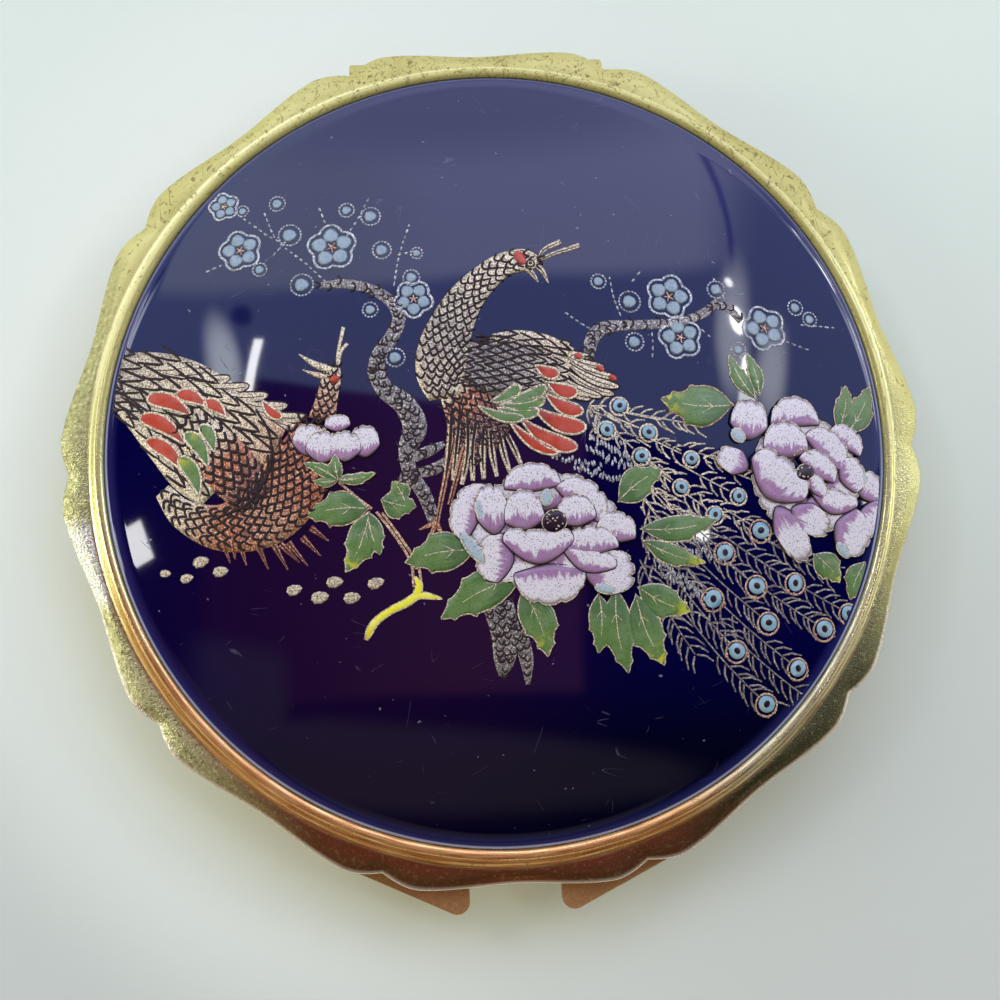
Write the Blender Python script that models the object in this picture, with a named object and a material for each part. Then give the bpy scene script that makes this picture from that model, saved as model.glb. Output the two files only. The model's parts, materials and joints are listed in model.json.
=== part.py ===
"""A powder compact: a glazed porcelain dome set in a scalloped gilt brass lid, hinged on a gilt pan.

Metres, +Z up. The origin is the centre of the flat underside that the compact stands on.
The thumb notch faces -Y and the hinge is at +Y, with its axis along X.
"""

import math

import bmesh
import bpy
from mathutils import Vector

MM = 0.001

# The scalloped outline that lid and pan share: straight-sided lobes that meet in pairs of bumps
LOBES = 10
RIM_PAST_HINGE = 1.0 * MM
BUMP_RISE = 1.25 * MM
CUSP_RISE = 0.4 * MM
BUMP_ANGLE = 4.9
LOBE_STEPS = (0.0, 0.5 * BUMP_ANGLE, BUMP_ANGLE, 8.5, 13.0)

# Fits
FIT_GAP = 0.3 * MM
RUNNING_GAP = 0.1 * MM
SETTING_GAP = 0.2 * MM
SLOT_GAP = 0.15 * MM
LID_GAP = 0.4 * MM
SWING_GAP = 0.25 * MM
SHEET = 0.7 * MM

# The pan that holds the powder
FOOT_RADIUS = 31.5 * MM
PAN_RADIUS = 37.6 * MM
PAN_DEPTH = 6.2 * MM
PAN_WALL = 0.8 * MM
PAN_RIM_INSET = 0.2 * MM
PAN_CURVE_STEPS = 4

# The two wings beside the thumb notch
NOTCH_HALF_WIDTH = 4.4 * MM
NOTCH_FLOOR = 1.3 * MM
WING_TIP_RADIUS = 1.2 * MM
WING_LENGTH = 1.5 * MM
WING_SKIN = 0.05 * MM
WING_ROOT = 1.0 * MM
WING_STEPS = 6

# The lid frame
LID_SKIRT = 1.2 * MM
EDGE_ROLL = 0.4 * MM
FRAME_HEIGHT = 4.6 * MM
BEAD_WIDTH = 0.8 * MM
BEAD_HEIGHT = 0.4 * MM
COVE_WIDTH = 1.0 * MM
COVE_DROP = 2.1 * MM
SEAT_WIDTH = 1.8 * MM
SEAT_DEPTH = 1.6 * MM

# The porcelain dome
DOME_INSET = 0.6 * MM
DOME_RISE = 7.2 * MM
DOME_FULLNESS = 2.2
DOME_EDGE_ROUND = 0.7 * MM
DOME_WALL = 2.2 * MM
DOME_LIP = 2.5 * MM
DOME_SEGMENTS = 72
DOME_RINGS = (0.22, 0.43, 0.62, 0.79, 0.92)
DOME_UNDER_RINGS = (0.8, 0.45)

# The mirror under the lid
MIRROR_THICKNESS = 1.4 * MM
MIRROR_LAP = 1.4 * MM
MIRROR_RING_LIP = 0.6 * MM
MIRROR_RING_WALL = 0.7 * MM
MIRROR_SEGMENTS = 48

# The hinge
HINGE_LENGTH = 25.2 * MM
LID_KNUCKLE_LENGTH = 12.4 * MM
BARREL_RADIUS = 1.4 * MM
PIN_RADIUS = 0.6 * MM
BARREL_SEGMENTS = 20
LEAF_THICKNESS = 1.1 * MM

# Heights and places that follow from the sizes above
PAN_TOP = PAN_DEPTH + PAN_WALL
LID_BOTTOM = PAN_TOP + LID_GAP
LID_EDGE_TOP = LID_BOTTOM + LID_SKIRT
FRAME_TOP = LID_BOTTOM + FRAME_HEIGHT
DOME_RADIUS = PAN_RADIUS - DOME_INSET
BEAD_RADIUS = DOME_RADIUS + SETTING_GAP
HUB_RADIUS = BEAD_RADIUS - SEAT_WIDTH
SEAT_TOP = FRAME_TOP - SEAT_DEPTH
DOME_BOTTOM = SEAT_TOP + FIT_GAP
SLOT_Y = PAN_RADIUS + SLOT_GAP
HINGE_Y = SLOT_Y + SETTING_GAP + BARREL_RADIUS
HINGE_Z = LID_BOTTOM - SWING_GAP - BARREL_RADIUS
SCALLOP_RADIUS = HINGE_Y + RIM_PAST_HINGE
CUSP_RADIUS = SCALLOP_RADIUS + CUSP_RISE
BUMP_RADIUS = SCALLOP_RADIUS + BUMP_RISE
WING_REACH = BUMP_RADIUS + WING_LENGTH
MIRROR_RING_RADIUS = HUB_RADIUS - FIT_GAP
MIRROR_RADIUS = MIRROR_RING_RADIUS - MIRROR_RING_WALL - FIT_GAP

GILT = ("gilt_brass", (0.83, 0.70, 0.36), 0.22, 1.0)
COBALT = ("cobalt_glaze", (0.02, 0.015, 0.12), 0.08, 0.0)
SILVERED = ("mirror_glass", (0.86, 0.88, 0.89), 0.03, 1.0)


def make_material(finish):
    name, colour, roughness, metallic = finish
    material = bpy.data.materials.get(name) or bpy.data.materials.new(name)
    material.use_nodes = True
    shader = material.node_tree.nodes["Principled BSDF"]
    shader.inputs["Base Color"].default_value = (*colour, 1.0)
    shader.inputs["Roughness"].default_value = roughness
    shader.inputs["Metallic"].default_value = metallic
    return material


def make_object(name, bm, finish, parent=None):
    """Turns a bmesh in world coordinates into a named object under its body's empty."""
    bmesh.ops.remove_doubles(bm, verts=bm.verts, dist=0.001 * MM)
    bmesh.ops.recalc_face_normals(bm, faces=bm.faces)
    mesh = bpy.data.meshes.new(name)
    bm.to_mesh(mesh)
    bm.free()
    mesh.materials.append(make_material(finish))
    mesh.shade_smooth()
    mesh.set_sharp_from_angle(angle=math.radians(35))
    piece = bpy.data.objects.new(name, mesh)
    bpy.context.scene.collection.objects.link(piece)
    if parent is not None:
        mesh.transform(parent.matrix_basis.inverted())
        piece.parent = parent
    return piece


def circle(radius, z, angles):
    return [Vector((radius * math.cos(a), radius * math.sin(a), z)) for a in angles]


def even_angles(count):
    return [2 * math.pi * i / count for i in range(count)]


def scallop_radius(angle):
    """Radius of the outline at an angle from +X: a sharp cusp at each lobe's corner, a bump
    each side of it, and a long shallow hollow between bumps."""
    lobe = 360.0 / LOBES
    offset = (math.degrees(angle) + lobe / 2) % lobe - lobe / 2
    away = abs(offset)
    if away < BUMP_ANGLE:
        rise = math.sin(math.pi / 2 * away / BUMP_ANGLE)
        return CUSP_RADIUS + (BUMP_RADIUS - CUSP_RADIUS) * rise
    t = (lobe / 2 - away) / (lobe / 2 - BUMP_ANGLE)
    return SCALLOP_RADIUS + (BUMP_RADIUS - SCALLOP_RADIUS) * t * t * (2.2 - 1.2 * t)


def scallop_angles():
    lobe = 360.0 / LOBES
    offsets = sorted({-s for s in LOBE_STEPS} | set(LOBE_STEPS)) + [lobe / 2]
    return [math.radians(lobe * k + s) for k in range(LOBES) for s in offsets]


def scallop(z, angles, inset=0.0):
    radii = [scallop_radius(a) - inset for a in angles]
    return [Vector((r * math.cos(a), r * math.sin(a), z)) for r, a in zip(radii, angles)]


def between(ring_a, ring_b, share, z):
    """A ring part of the way from one ring to another, at its own height."""
    return [Vector((*a.lerp(b, share).xy, z)) for a, b in zip(ring_a, ring_b)]


def loft(rings, closed):
    """Joins rings of equal length with quads. A closed loft runs back to its first ring, an
    open one gets a flat or fanned cap at both ends."""
    bm = bmesh.new()
    loops = [[bm.verts.new(p) for p in ring] for ring in rings]
    count = len(loops[0])
    pairs = list(zip(loops, loops[1:] + loops[:1] if closed else loops[1:]))
    for lower, upper in pairs:
        for i in range(count):
            j = (i + 1) % count
            bm.faces.new((lower[i], lower[j], upper[j], upper[i]))
    if not closed:
        bm.faces.new(list(reversed(loops[0])))
        bm.faces.new(loops[-1])
    return bm


def prism(outline, z_low, z_high):
    """A flat outline raised into a plate."""
    low = [Vector((x, y, z_low)) for x, y in outline]
    high = [Vector((x, y, z_high)) for x, y in outline]
    return loft([low, high], closed=False)


def box(low, high):
    corners = [(low[0], low[1]), (high[0], low[1]), (high[0], high[1]), (low[0], high[1])]
    return prism(corners, low[2], high[2])


def tube(x_start, x_end, outer, bore=None):
    """A tube, or a rod where it has no bore, about the hinge's axis."""
    angles = even_angles(BARREL_SEGMENTS)

    def ring(x, radius):
        return [
            Vector((x, HINGE_Y + radius * math.cos(a), HINGE_Z + radius * math.sin(a)))
            for a in angles
        ]

    if bore is None:
        return loft([ring(x_start, outer), ring(x_end, outer)], closed=False)
    corners = ((x_start, bore), (x_start, outer), (x_end, outer), (x_end, bore))
    return loft([ring(x, r) for x, r in corners], closed=True)


def combine(piece, bm, operation):
    """Joins another closed shape to a piece, or cuts it out."""
    tool = make_object(f"{piece.name}_tool", bm, GILT)
    if piece.parent is not None:
        tool.data.transform(piece.parent.matrix_basis.inverted())
        tool.parent = piece.parent
    modifier = piece.modifiers.new(operation.lower(), "BOOLEAN")
    modifier.operation = operation
    modifier.solver = "EXACT"
    modifier.object = tool
    bpy.context.view_layer.update()
    evaluated = piece.evaluated_get(bpy.context.evaluated_depsgraph_get())
    joined = bpy.data.meshes.new_from_object(evaluated)
    piece.modifiers.clear()
    piece.data = joined
    bpy.data.objects.remove(tool)


def wing_outline(side):
    """One wing of the pan's rim: from the outer bump straight to a rounded tip, then back
    along the thumb notch."""
    corner = math.radians(270 - 180 / LOBES - BUMP_ANGLE)
    reach = scallop_radius(corner) - PAN_RIM_INSET
    start = Vector((reach * math.cos(corner), reach * math.sin(corner)))
    centre = Vector((-NOTCH_HALF_WIDTH - WING_TIP_RADIUS, -WING_REACH + WING_TIP_RADIUS))
    towards = start - centre
    tangent = math.atan2(towards.y, towards.x) + math.acos(WING_TIP_RADIUS / towards.length)
    turn = [tangent + (2 * math.pi - tangent) * i / WING_STEPS for i in range(WING_STEPS + 1)]
    tip = [
        (centre.x + WING_TIP_RADIUS * math.cos(a), centre.y + WING_TIP_RADIUS * math.sin(a))
        for a in turn
    ]
    root = PAN_RADIUS + WING_ROOT
    inner = (-NOTCH_HALF_WIDTH, -root)
    back = (root * math.cos(corner), root * math.sin(corner))
    outline = [tuple(start), *tip, inner, back]
    return [(side * x, y) for x, y in outline]


def build_pan(body):
    angles = scallop_angles()
    rise = PAN_RADIUS - FOOT_RADIUS
    turns = [math.pi / 2 * i / PAN_CURVE_STEPS for i in range(PAN_CURVE_STEPS + 1)]
    outside = [
        circle(FOOT_RADIUS + rise * math.sin(t), PAN_DEPTH * (1 - math.cos(t)), angles)
        for t in turns
    ]
    inner_rise, inner_depth = rise - PAN_WALL, PAN_DEPTH - PAN_WALL
    inside = [
        circle(FOOT_RADIUS + inner_rise * math.sin(t), PAN_DEPTH - inner_depth * math.cos(t), angles)
        for t in reversed(turns)
    ]
    edge = [
        scallop(PAN_DEPTH, angles, PAN_RIM_INSET),
        scallop(PAN_TOP, angles, PAN_RIM_INSET),
        circle(PAN_RADIUS - PAN_WALL, PAN_TOP, angles),
    ]
    pan = make_object("pan", loft([*outside, *edge, *inside], closed=False), GILT, body)
    for side in (-1, 1):
        plate = prism(wing_outline(side), PAN_DEPTH + WING_SKIN, PAN_TOP - WING_SKIN)
        combine(pan, plate, "UNION")
    past = 2 * WING_REACH
    notch = box(
        (-NOTCH_HALF_WIDTH, -past, PAN_DEPTH / 2),
        (NOTCH_HALF_WIDTH, -PAN_RADIUS - NOTCH_FLOOR, 2 * PAN_TOP),
    )
    combine(pan, notch, "DIFFERENCE")
    half = HINGE_LENGTH / 2 + FIT_GAP
    slot = box((-half, SLOT_Y, PAN_DEPTH / 2), (half, past, 2 * PAN_TOP))
    combine(pan, slot, "DIFFERENCE")
    return pan


def build_frame(body):
    angles = scallop_angles()
    bead_outer = BEAD_RADIUS + BEAD_WIDTH
    cove_outer = bead_outer + COVE_WIDTH
    bead_foot = FRAME_TOP - BEAD_HEIGHT
    cove_foot = FRAME_TOP - COVE_DROP
    edge_top = scallop(LID_EDGE_TOP, angles, EDGE_ROLL)
    cove = circle(cove_outer, cove_foot, angles)
    slope_mid = (cove_foot + LID_EDGE_TOP) / 2 + 0.08 * MM
    rings = [
        circle(HUB_RADIUS, SEAT_TOP, angles),
        circle(BEAD_RADIUS, SEAT_TOP, angles),
        circle(BEAD_RADIUS, bead_foot, angles),
        circle(BEAD_RADIUS + BEAD_WIDTH / 2, FRAME_TOP, angles),
        circle(bead_outer, bead_foot, angles),
        circle(bead_outer + COVE_WIDTH * 0.3, cove_foot + COVE_DROP * 0.28, angles),
        cove,
        between(cove, edge_top, 0.55, slope_mid),
        edge_top,
        scallop(LID_EDGE_TOP - EDGE_ROLL, angles),
        scallop(LID_BOTTOM, angles),
        scallop(LID_BOTTOM, angles, SHEET),
        scallop(LID_EDGE_TOP - SHEET, angles, SHEET),
        circle(cove_outer - SHEET, cove_foot - SHEET, angles),
        circle(HUB_RADIUS + SHEET, SEAT_TOP - SHEET, angles),
        circle(HUB_RADIUS + SHEET, LID_BOTTOM, angles),
        circle(HUB_RADIUS, LID_BOTTOM, angles),
    ]
    return make_object("lid_frame", loft(rings, closed=True), GILT, body)


def dome_height(radius):
    """Height of the dome's glazed surface at a distance from its middle."""
    cap_radius = DOME_RADIUS - DOME_EDGE_ROUND
    share = min(radius / cap_radius, 1.0)
    return FRAME_TOP + DOME_RISE * (1 - share**DOME_FULLNESS)


def build_dome(body):
    angles = even_angles(DOME_SEGMENTS)
    cap_radius = DOME_RADIUS - DOME_EDGE_ROUND
    lip = DOME_RADIUS - DOME_LIP
    centre = 0.02 * MM
    top = [circle(cap_radius * s, dome_height(cap_radius * s), angles) for s in DOME_RINGS]
    edge = [
        circle(cap_radius, dome_height(cap_radius), angles),
        circle(DOME_RADIUS - 0.25 * DOME_EDGE_ROUND, FRAME_TOP - 0.45 * DOME_EDGE_ROUND, angles),
        circle(DOME_RADIUS, FRAME_TOP - 1.2 * DOME_EDGE_ROUND, angles),
        circle(DOME_RADIUS, DOME_BOTTOM, angles),
        circle(lip, DOME_BOTTOM, angles),
    ]
    under = [
        circle(lip * s, dome_height(lip * s) - DOME_WALL, angles) for s in DOME_UNDER_RINGS
    ]
    rings = [
        circle(centre, dome_height(0), angles),
        *top,
        *edge,
        *under,
        circle(centre, dome_height(0) - DOME_WALL, angles),
    ]
    dome = loft(rings, closed=False)
    bmesh.ops.remove_doubles(dome, verts=dome.verts, dist=0.01 * MM)
    return make_object("porcelain_dome", dome, COBALT, body)


def build_mirror(body):
    angles = even_angles(MIRROR_SEGMENTS)
    window = MIRROR_RADIUS - MIRROR_LAP
    seat = LID_BOTTOM + MIRROR_RING_LIP
    glass_low = seat + FIT_GAP
    glass_high = glass_low + MIRROR_THICKNESS
    wall = MIRROR_RADIUS + FIT_GAP
    ring = [
        circle(window, LID_BOTTOM, angles),
        circle(MIRROR_RING_RADIUS, LID_BOTTOM, angles),
        circle(MIRROR_RING_RADIUS, glass_high, angles),
        circle(wall, glass_high, angles),
        circle(wall, seat, angles),
        circle(window, seat, angles),
    ]
    make_object("mirror_ring", loft(ring, closed=True), GILT, body)
    glass = [circle(MIRROR_RADIUS, z, angles) for z in (glass_low, glass_high)]
    make_object("mirror", loft(glass, closed=False), SILVERED, body)


def build_hinge(pan_body, lid_body):
    """Two knuckles with their webs on the pan, one on the lid, and the pin through all three."""
    half = HINGE_LENGTH / 2
    lid_half = LID_KNUCKLE_LENGTH / 2
    inner = lid_half + FIT_GAP
    bore = PIN_RADIUS + RUNNING_GAP
    web_y = HINGE_Y - BARREL_RADIUS * 0.55
    pan_edge = SLOT_Y + FIT_GAP
    web_low = HINGE_Z - LEAF_THICKNESS / 2
    for name, start, end in (("left", -half, -inner), ("right", inner, half)):
        knuckle = make_object(f"pan_knuckle_{name}", tube(start, end, BARREL_RADIUS, bore), GILT, pan_body)
        web = box((start, pan_edge, web_low), (end, web_y, web_low + LEAF_THICKNESS))
        combine(knuckle, web, "UNION")
    knuckle = make_object("lid_knuckle", tube(-lid_half, lid_half, BARREL_RADIUS, bore), GILT, lid_body)
    web_high = LID_EDGE_TOP - SHEET - FIT_GAP
    web = box(
        (-lid_half, HINGE_Y - LEAF_THICKNESS / 2, HINGE_Z + BARREL_RADIUS * 0.75),
        (lid_half, HINGE_Y + LEAF_THICKNESS / 2 - FIT_GAP, web_high),
    )
    combine(knuckle, web, "UNION")
    pin_half = half - FIT_GAP
    make_object("hinge_pin", tube(-pin_half, pin_half, PIN_RADIUS), GILT, pan_body)


def add_body(name, location):
    body = bpy.data.objects.new(name, None)
    body.location = location
    bpy.context.scene.collection.objects.link(body)
    return body


def main():
    for old in list(bpy.data.objects):
        bpy.data.objects.remove(old)
    pan_body = add_body("pan_body", (0, 0, 0))
    lid_body = add_body("lid_body", (0, HINGE_Y, HINGE_Z))
    build_pan(pan_body)
    build_frame(lid_body)
    build_dome(lid_body)
    build_mirror(lid_body)
    build_hinge(pan_body, lid_body)
    bpy.context.view_layer.update()


main()
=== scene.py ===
"""Looks of the porcelain powder compact: gilt metalwork, a cobalt glazed dome, and a picture of
birds and peonies on it in gold ink and enamel.

Lengths are metres. The picture's plan is in millimetres from the middle of the lid, x to the right
and y towards the hinge, and it is laid on the dome afterwards.
"""

import json
import math
import random

import bmesh
import bpy
import numpy as np
from mathutils import Matrix, Vector


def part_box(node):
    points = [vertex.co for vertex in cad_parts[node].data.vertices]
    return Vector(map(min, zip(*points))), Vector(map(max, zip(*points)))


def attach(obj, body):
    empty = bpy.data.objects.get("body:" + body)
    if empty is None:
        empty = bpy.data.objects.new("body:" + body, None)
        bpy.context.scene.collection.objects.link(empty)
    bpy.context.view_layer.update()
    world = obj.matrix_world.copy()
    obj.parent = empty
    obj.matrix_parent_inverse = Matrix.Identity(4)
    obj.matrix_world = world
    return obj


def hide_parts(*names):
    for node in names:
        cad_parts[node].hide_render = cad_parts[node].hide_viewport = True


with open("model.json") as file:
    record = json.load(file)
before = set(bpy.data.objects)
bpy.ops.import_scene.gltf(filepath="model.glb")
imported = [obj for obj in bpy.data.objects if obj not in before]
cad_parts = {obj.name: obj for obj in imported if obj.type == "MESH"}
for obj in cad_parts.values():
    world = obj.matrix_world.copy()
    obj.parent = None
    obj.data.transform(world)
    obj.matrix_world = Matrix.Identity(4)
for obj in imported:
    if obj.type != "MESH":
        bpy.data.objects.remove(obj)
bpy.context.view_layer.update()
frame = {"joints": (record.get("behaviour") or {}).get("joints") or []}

MM = 0.001

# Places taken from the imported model
DOME_LOW, DOME_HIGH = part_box("porcelain_dome")
LID_LOW, LID_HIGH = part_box("lid_frame")
PAN_LOW, PAN_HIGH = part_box("pan")
RING_LOW, RING_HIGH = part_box("mirror_ring")
GLASS_LOW, GLASS_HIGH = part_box("mirror")
KNUCKLE_LOW, KNUCKLE_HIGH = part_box("pan_knuckle_left")
LID_KNUCKLE_LOW, LID_KNUCKLE_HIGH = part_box("lid_knuckle")
PIN_LOW, PIN_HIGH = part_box("hinge_pin")
HINGE = Vector(frame["joints"][0]["pos_m"])

# The scalloped outline, as the lid and pan share it
LOBES = 10
BUMP_RISE = 1.25 * MM
CUSP_RISE = 0.4 * MM
BUMP_ANGLE = 4.9
RIM_PAST_HINGE = 1.0 * MM
SCALLOP_RADIUS = HINGE.y + RIM_PAST_HINGE
PAN_RIM_INSET = 0.2 * MM

# The dome's profile
DOME_RADIUS = 37.0 * MM
DOME_EDGE_ROUND = 0.7 * MM
DOME_FULLNESS = 2.2
CAP_RADIUS = DOME_RADIUS - DOME_EDGE_ROUND
FRAME_TOP = LID_HIGH.z
DOME_RISE = DOME_HIGH.z - FRAME_TOP
PICTURE_EDGE = 36.45 * MM

# How fine the turned pieces are
RIM_TURNS = 480
PLAIN_TURNS = 240
ARC_POINTS = 5


def paint(red, green, blue):
    """A colour as a paint chart gives it, from 0 to 255, made linear."""
    chart = (red / 255, green / 255, blue / 255)
    linear = [c / 12.92 if c <= 0.04045 else ((c + 0.055) / 1.055) ** 2.4 for c in chart]
    return (*linear, 1.0)


# Sums inside node trees


class Term:
    """A value inside a node tree. Sums with it add Math nodes to the tree."""

    def __init__(self, socket):
        self.socket = socket
        self.tree = socket.id_data

    def sum(self, operation, *others):
        node = self.tree.nodes.new("ShaderNodeMath")
        node.operation = operation
        for slot, value in zip(node.inputs, (self, *others)):
            feed(slot, value)
        return Term(node.outputs[0])

    def __add__(self, other):
        return self.sum("ADD", other)

    def __sub__(self, other):
        return self.sum("SUBTRACT", other)

    def __mul__(self, other):
        return self.sum("MULTIPLY", other)

    def __truediv__(self, other):
        return self.sum("DIVIDE", other)

    def __pow__(self, other):
        return self.sum("POWER", other)

    def between(self, low, high):
        """0 at low, 1 at high, with a smooth climb between them."""
        node = self.tree.nodes.new("ShaderNodeMapRange")
        node.interpolation_type = "SMOOTHSTEP"
        feed(node.inputs["Value"], self)
        feed(node.inputs["From Min"], low)
        feed(node.inputs["From Max"], high)
        return Term(node.outputs["Result"])

    def inverse(self):
        return self * -1.0 + 1.0


def feed(slot, value):
    if isinstance(value, Term):
        value = value.socket
    if isinstance(value, bpy.types.NodeSocket):
        slot.id_data.links.new(value, slot)
    else:
        slot.default_value = value


def add(tree, kind, inputs=(), **settings):
    node = tree.nodes.new(kind)
    for name, value in settings.items():
        setattr(node, name, value)
    for name, value in dict(inputs).items():
        slots = [s for i, s in enumerate(node.inputs) if s.enabled and name in (i, s.name)]
        feed(slots[0], value)
    return node


def attribute(tree, name, data_type="FLOAT"):
    """A named value that each point of the shape carries."""
    node = add(tree, "GeometryNodeInputNamedAttribute", {"Name": name}, data_type=data_type)
    return next(Term(s) for s in node.outputs if s.enabled)


def split(tree, vector):
    """The three numbers of a vector."""
    return [Term(s) for s in add(tree, "ShaderNodeSeparateXYZ", {"Vector": vector}).outputs]


def join(tree, x=0.0, y=0.0, z=0.0):
    """A vector of three numbers."""
    return add(tree, "ShaderNodeCombineXYZ", {"X": x, "Y": y, "Z": z}).outputs[0]


def position(tree):
    """The place of each point of a shape, as three numbers."""
    return split(tree, add(tree, "GeometryNodeInputPosition").outputs[0])


def move(tree, geometry, x, y, z):
    """Puts each point of a shape at its new place."""
    node = add(tree, "GeometryNodeSetPosition", {"Geometry": geometry, "Position": join(tree, x, y, z)})
    return node.outputs[0]


def from_middle(x, y):
    """The distance from the upright axis."""
    return (x * x + y * y).sum("SQRT")


def open_group(name, kind, sizes, results):
    """A node group with named inputs and outputs. Returns the tree, its inputs as terms and its
    output node."""
    kinds = {
        int: "NodeSocketInt", float: "NodeSocketFloat", tuple: "NodeSocketColor",
        str: "NodeSocketMaterial", list: "NodeSocketVector", bool: "NodeSocketGeometry",
    }
    tree = bpy.data.node_groups.new(name, kind)
    for label, value in sizes.items():
        socket = tree.interface.new_socket(label, in_out="INPUT", socket_type=kinds[type(value)])
        if isinstance(value, (int, float, tuple)) and not isinstance(value, bool):
            socket.default_value = value
    for label, value in results.items():
        tree.interface.new_socket(label, in_out="OUTPUT", socket_type=kinds[type(value)])
    entry = tree.nodes.new("NodeGroupInput")
    given = {s.name: Term(s) for s in entry.outputs if s.name}
    return tree, given, tree.nodes.new("NodeGroupOutput")


# Geometry trees


def turning_tree():
    """A section of points, given as (radius, 0, height), turned about the upright axis. Beyond
    the cove its points are pushed out to the scalloped outline."""
    sizes = {
        "Section": True, "Points": 60, "Turns": 480, "Bump rise": 0.0, "Cusp rise": 0.0,
        "Push start": 0.039, "Push end": 0.04, "Finish": "",
    }
    tree, given, out = open_group("Turned and scalloped", "GeometryNodeTree", sizes, {"Shape": True})
    grid = add(tree, "GeometryNodeMeshGrid", {
        "Size X": 1.0, "Size Y": 1.0,
        "Vertices X": given["Turns"] + 1.0, "Vertices Y": given["Points"] + 1.0,
    })
    across, along, _ = position(tree)
    angle = (across + 0.5) * (2 * math.pi)
    step = ((along + 0.5) * given["Points"] + 0.5).sum("FLOOR")
    sample = add(tree, "GeometryNodeSampleIndex", {
        "Geometry": given["Section"],
        "Index": step.sum("MODULO", given["Points"]),
        "Value": add(tree, "GeometryNodeInputPosition").outputs[0],
    }, data_type="FLOAT_VECTOR")
    value = next(s for s in sample.outputs if s.enabled)
    radius, _, height = split(tree, value)
    lobe = 360.0 / LOBES
    away = ((angle * (180 / math.pi) + lobe / 2).sum("MODULO", lobe) - lobe / 2).sum("ABSOLUTE")
    climb = (away * (math.pi / 2 / BUMP_ANGLE)).sum("SINE")
    bump = given["Cusp rise"] + (given["Bump rise"] - given["Cusp rise"]) * climb
    share = (away - lobe / 2) / (BUMP_ANGLE - lobe / 2)
    hollow = given["Bump rise"] * share * share * (share * -1.2 + 2.2)
    at_bump = away.sum("LESS_THAN", BUMP_ANGLE)
    push = hollow + (bump - hollow) * at_bump
    weight = ((radius - given["Push start"]) / (given["Push end"] - given["Push start"]))
    weight = weight.sum("MAXIMUM", 0.0).sum("MINIMUM", 1.0)
    reach = radius + push * weight
    moved = move(tree, grid.outputs["Mesh"], reach * angle.sum("COSINE"), reach * angle.sum("SINE"), height)
    joined = add(tree, "GeometryNodeMergeByDistance", {"Geometry": moved, "Distance": 1e-6})
    finish_tree(tree, joined.outputs[0], given, out)
    return tree


def finish_tree(tree, geometry, given, out):
    smooth = add(tree, "GeometryNodeSetShadeSmooth", {"Geometry": geometry})
    plain = add(tree, "GeometryNodeRealizeInstances", {"Geometry": smooth.outputs[0]})
    values = {"Geometry": plain.outputs[0], "Material": given["Finish"]}
    dressed = add(tree, "GeometryNodeSetMaterial", values)
    tree.links.new(dressed.outputs[0], out.inputs[0])


def laying_group():
    """Lays flat shapes on the dome: their height becomes relief above the glaze, and what
    reaches past the picture's edge is cut back to it."""
    sizes = {
        "Shape": True, "Edge": PICTURE_EDGE, "Cap radius": CAP_RADIUS, "Rise": DOME_RISE,
        "Fullness": DOME_FULLNESS, "Rim height": FRAME_TOP,
    }
    tree, given, out = open_group("Laid on the dome", "GeometryNodeTree", sizes, {"Shape": True})
    x, y, relief = position(tree)
    radius = from_middle(x, y).sum("MAXIMUM", 1e-6)
    kept = radius.sum("MINIMUM", given["Edge"]) / radius
    share = (radius * kept / given["Cap radius"]).sum("MINIMUM", 1.0)
    height = given["Rim height"] + given["Rise"] * (share ** given["Fullness"]).inverse()
    tree.links.new(move(tree, given["Shape"], x * kept, y * kept, height + relief), out.inputs[0])
    return tree


def lay(tree, geometry):
    node = add(tree, "GeometryNodeGroup", node_tree=LAYING)
    tree.links.new(geometry, node.inputs["Shape"])
    return node.outputs["Shape"]


def patch_tree():
    """Shapes that are drawn flat, laid on the dome."""
    sizes = {"Shape": True, "Finish": ""}
    tree, given, out = open_group("Patches on the dome", "GeometryNodeTree", sizes, {"Shape": True})
    finish_tree(tree, lay(tree, given["Shape"].socket), given, out)
    return tree


def stroke_tree():
    """Lines drawn with a pen: each run of edges becomes a low round ridge as wide as its own
    width attribute says."""
    sizes = {"Lines": True, "Sides": 6, "Flatness": 0.3, "Finish": ""}
    tree, given, out = open_group("Pen strokes on the dome", "GeometryNodeTree", sizes, {"Shape": True})
    curve = add(tree, "GeometryNodeMeshToCurve", {"Mesh": given["Lines"]})
    pen = add(tree, "GeometryNodeCurvePrimitiveCircle", {"Resolution": given["Sides"], "Radius": 1.0})
    swept = add(tree, "GeometryNodeCurveToMesh", {
        "Curve": curve.outputs[0], "Profile Curve": pen.outputs[0],
        "Scale": attribute(tree, "width") * 0.5, "Fill Caps": True,
    })
    x, y, z = position(tree)
    low = z * given["Flatness"] + attribute(tree, "lift")
    finish_tree(tree, lay(tree, move(tree, swept.outputs[0], x, y, low)), given, out)
    return tree


def dab_tree():
    """Small dabs, each a closed low lens with its own size, turn and lift."""
    sizes = {"Points": True, "Sides": 8, "Rings": 4, "Taper": 0.25, "Finish": ""}
    tree, given, out = open_group("Dabs on the dome", "GeometryNodeTree", sizes, {"Shape": True})
    lens = add(tree, "GeometryNodeMeshUVSphere", {
        "Segments": given["Sides"], "Rings": given["Rings"], "Radius": 0.5,
    })
    x, y, z = position(tree)
    narrow = (x * given["Taper"] * 2.0).inverse()
    spin = add(tree, "FunctionNodeEulerToRotation", {"Euler": join(tree, z=attribute(tree, "turn"))})
    placed = add(tree, "GeometryNodeInstanceOnPoints", {
        "Points": given["Points"], "Rotation": spin.outputs[0],
        "Instance": move(tree, lens.outputs["Mesh"], x, y * narrow, z),
        "Scale": attribute(tree, "size", "FLOAT_VECTOR"),
    })
    real = add(tree, "GeometryNodeRealizeInstances", {"Geometry": placed.outputs[0]})
    finish_tree(tree, lay(tree, real.outputs[0]), given, out)
    return tree


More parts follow.
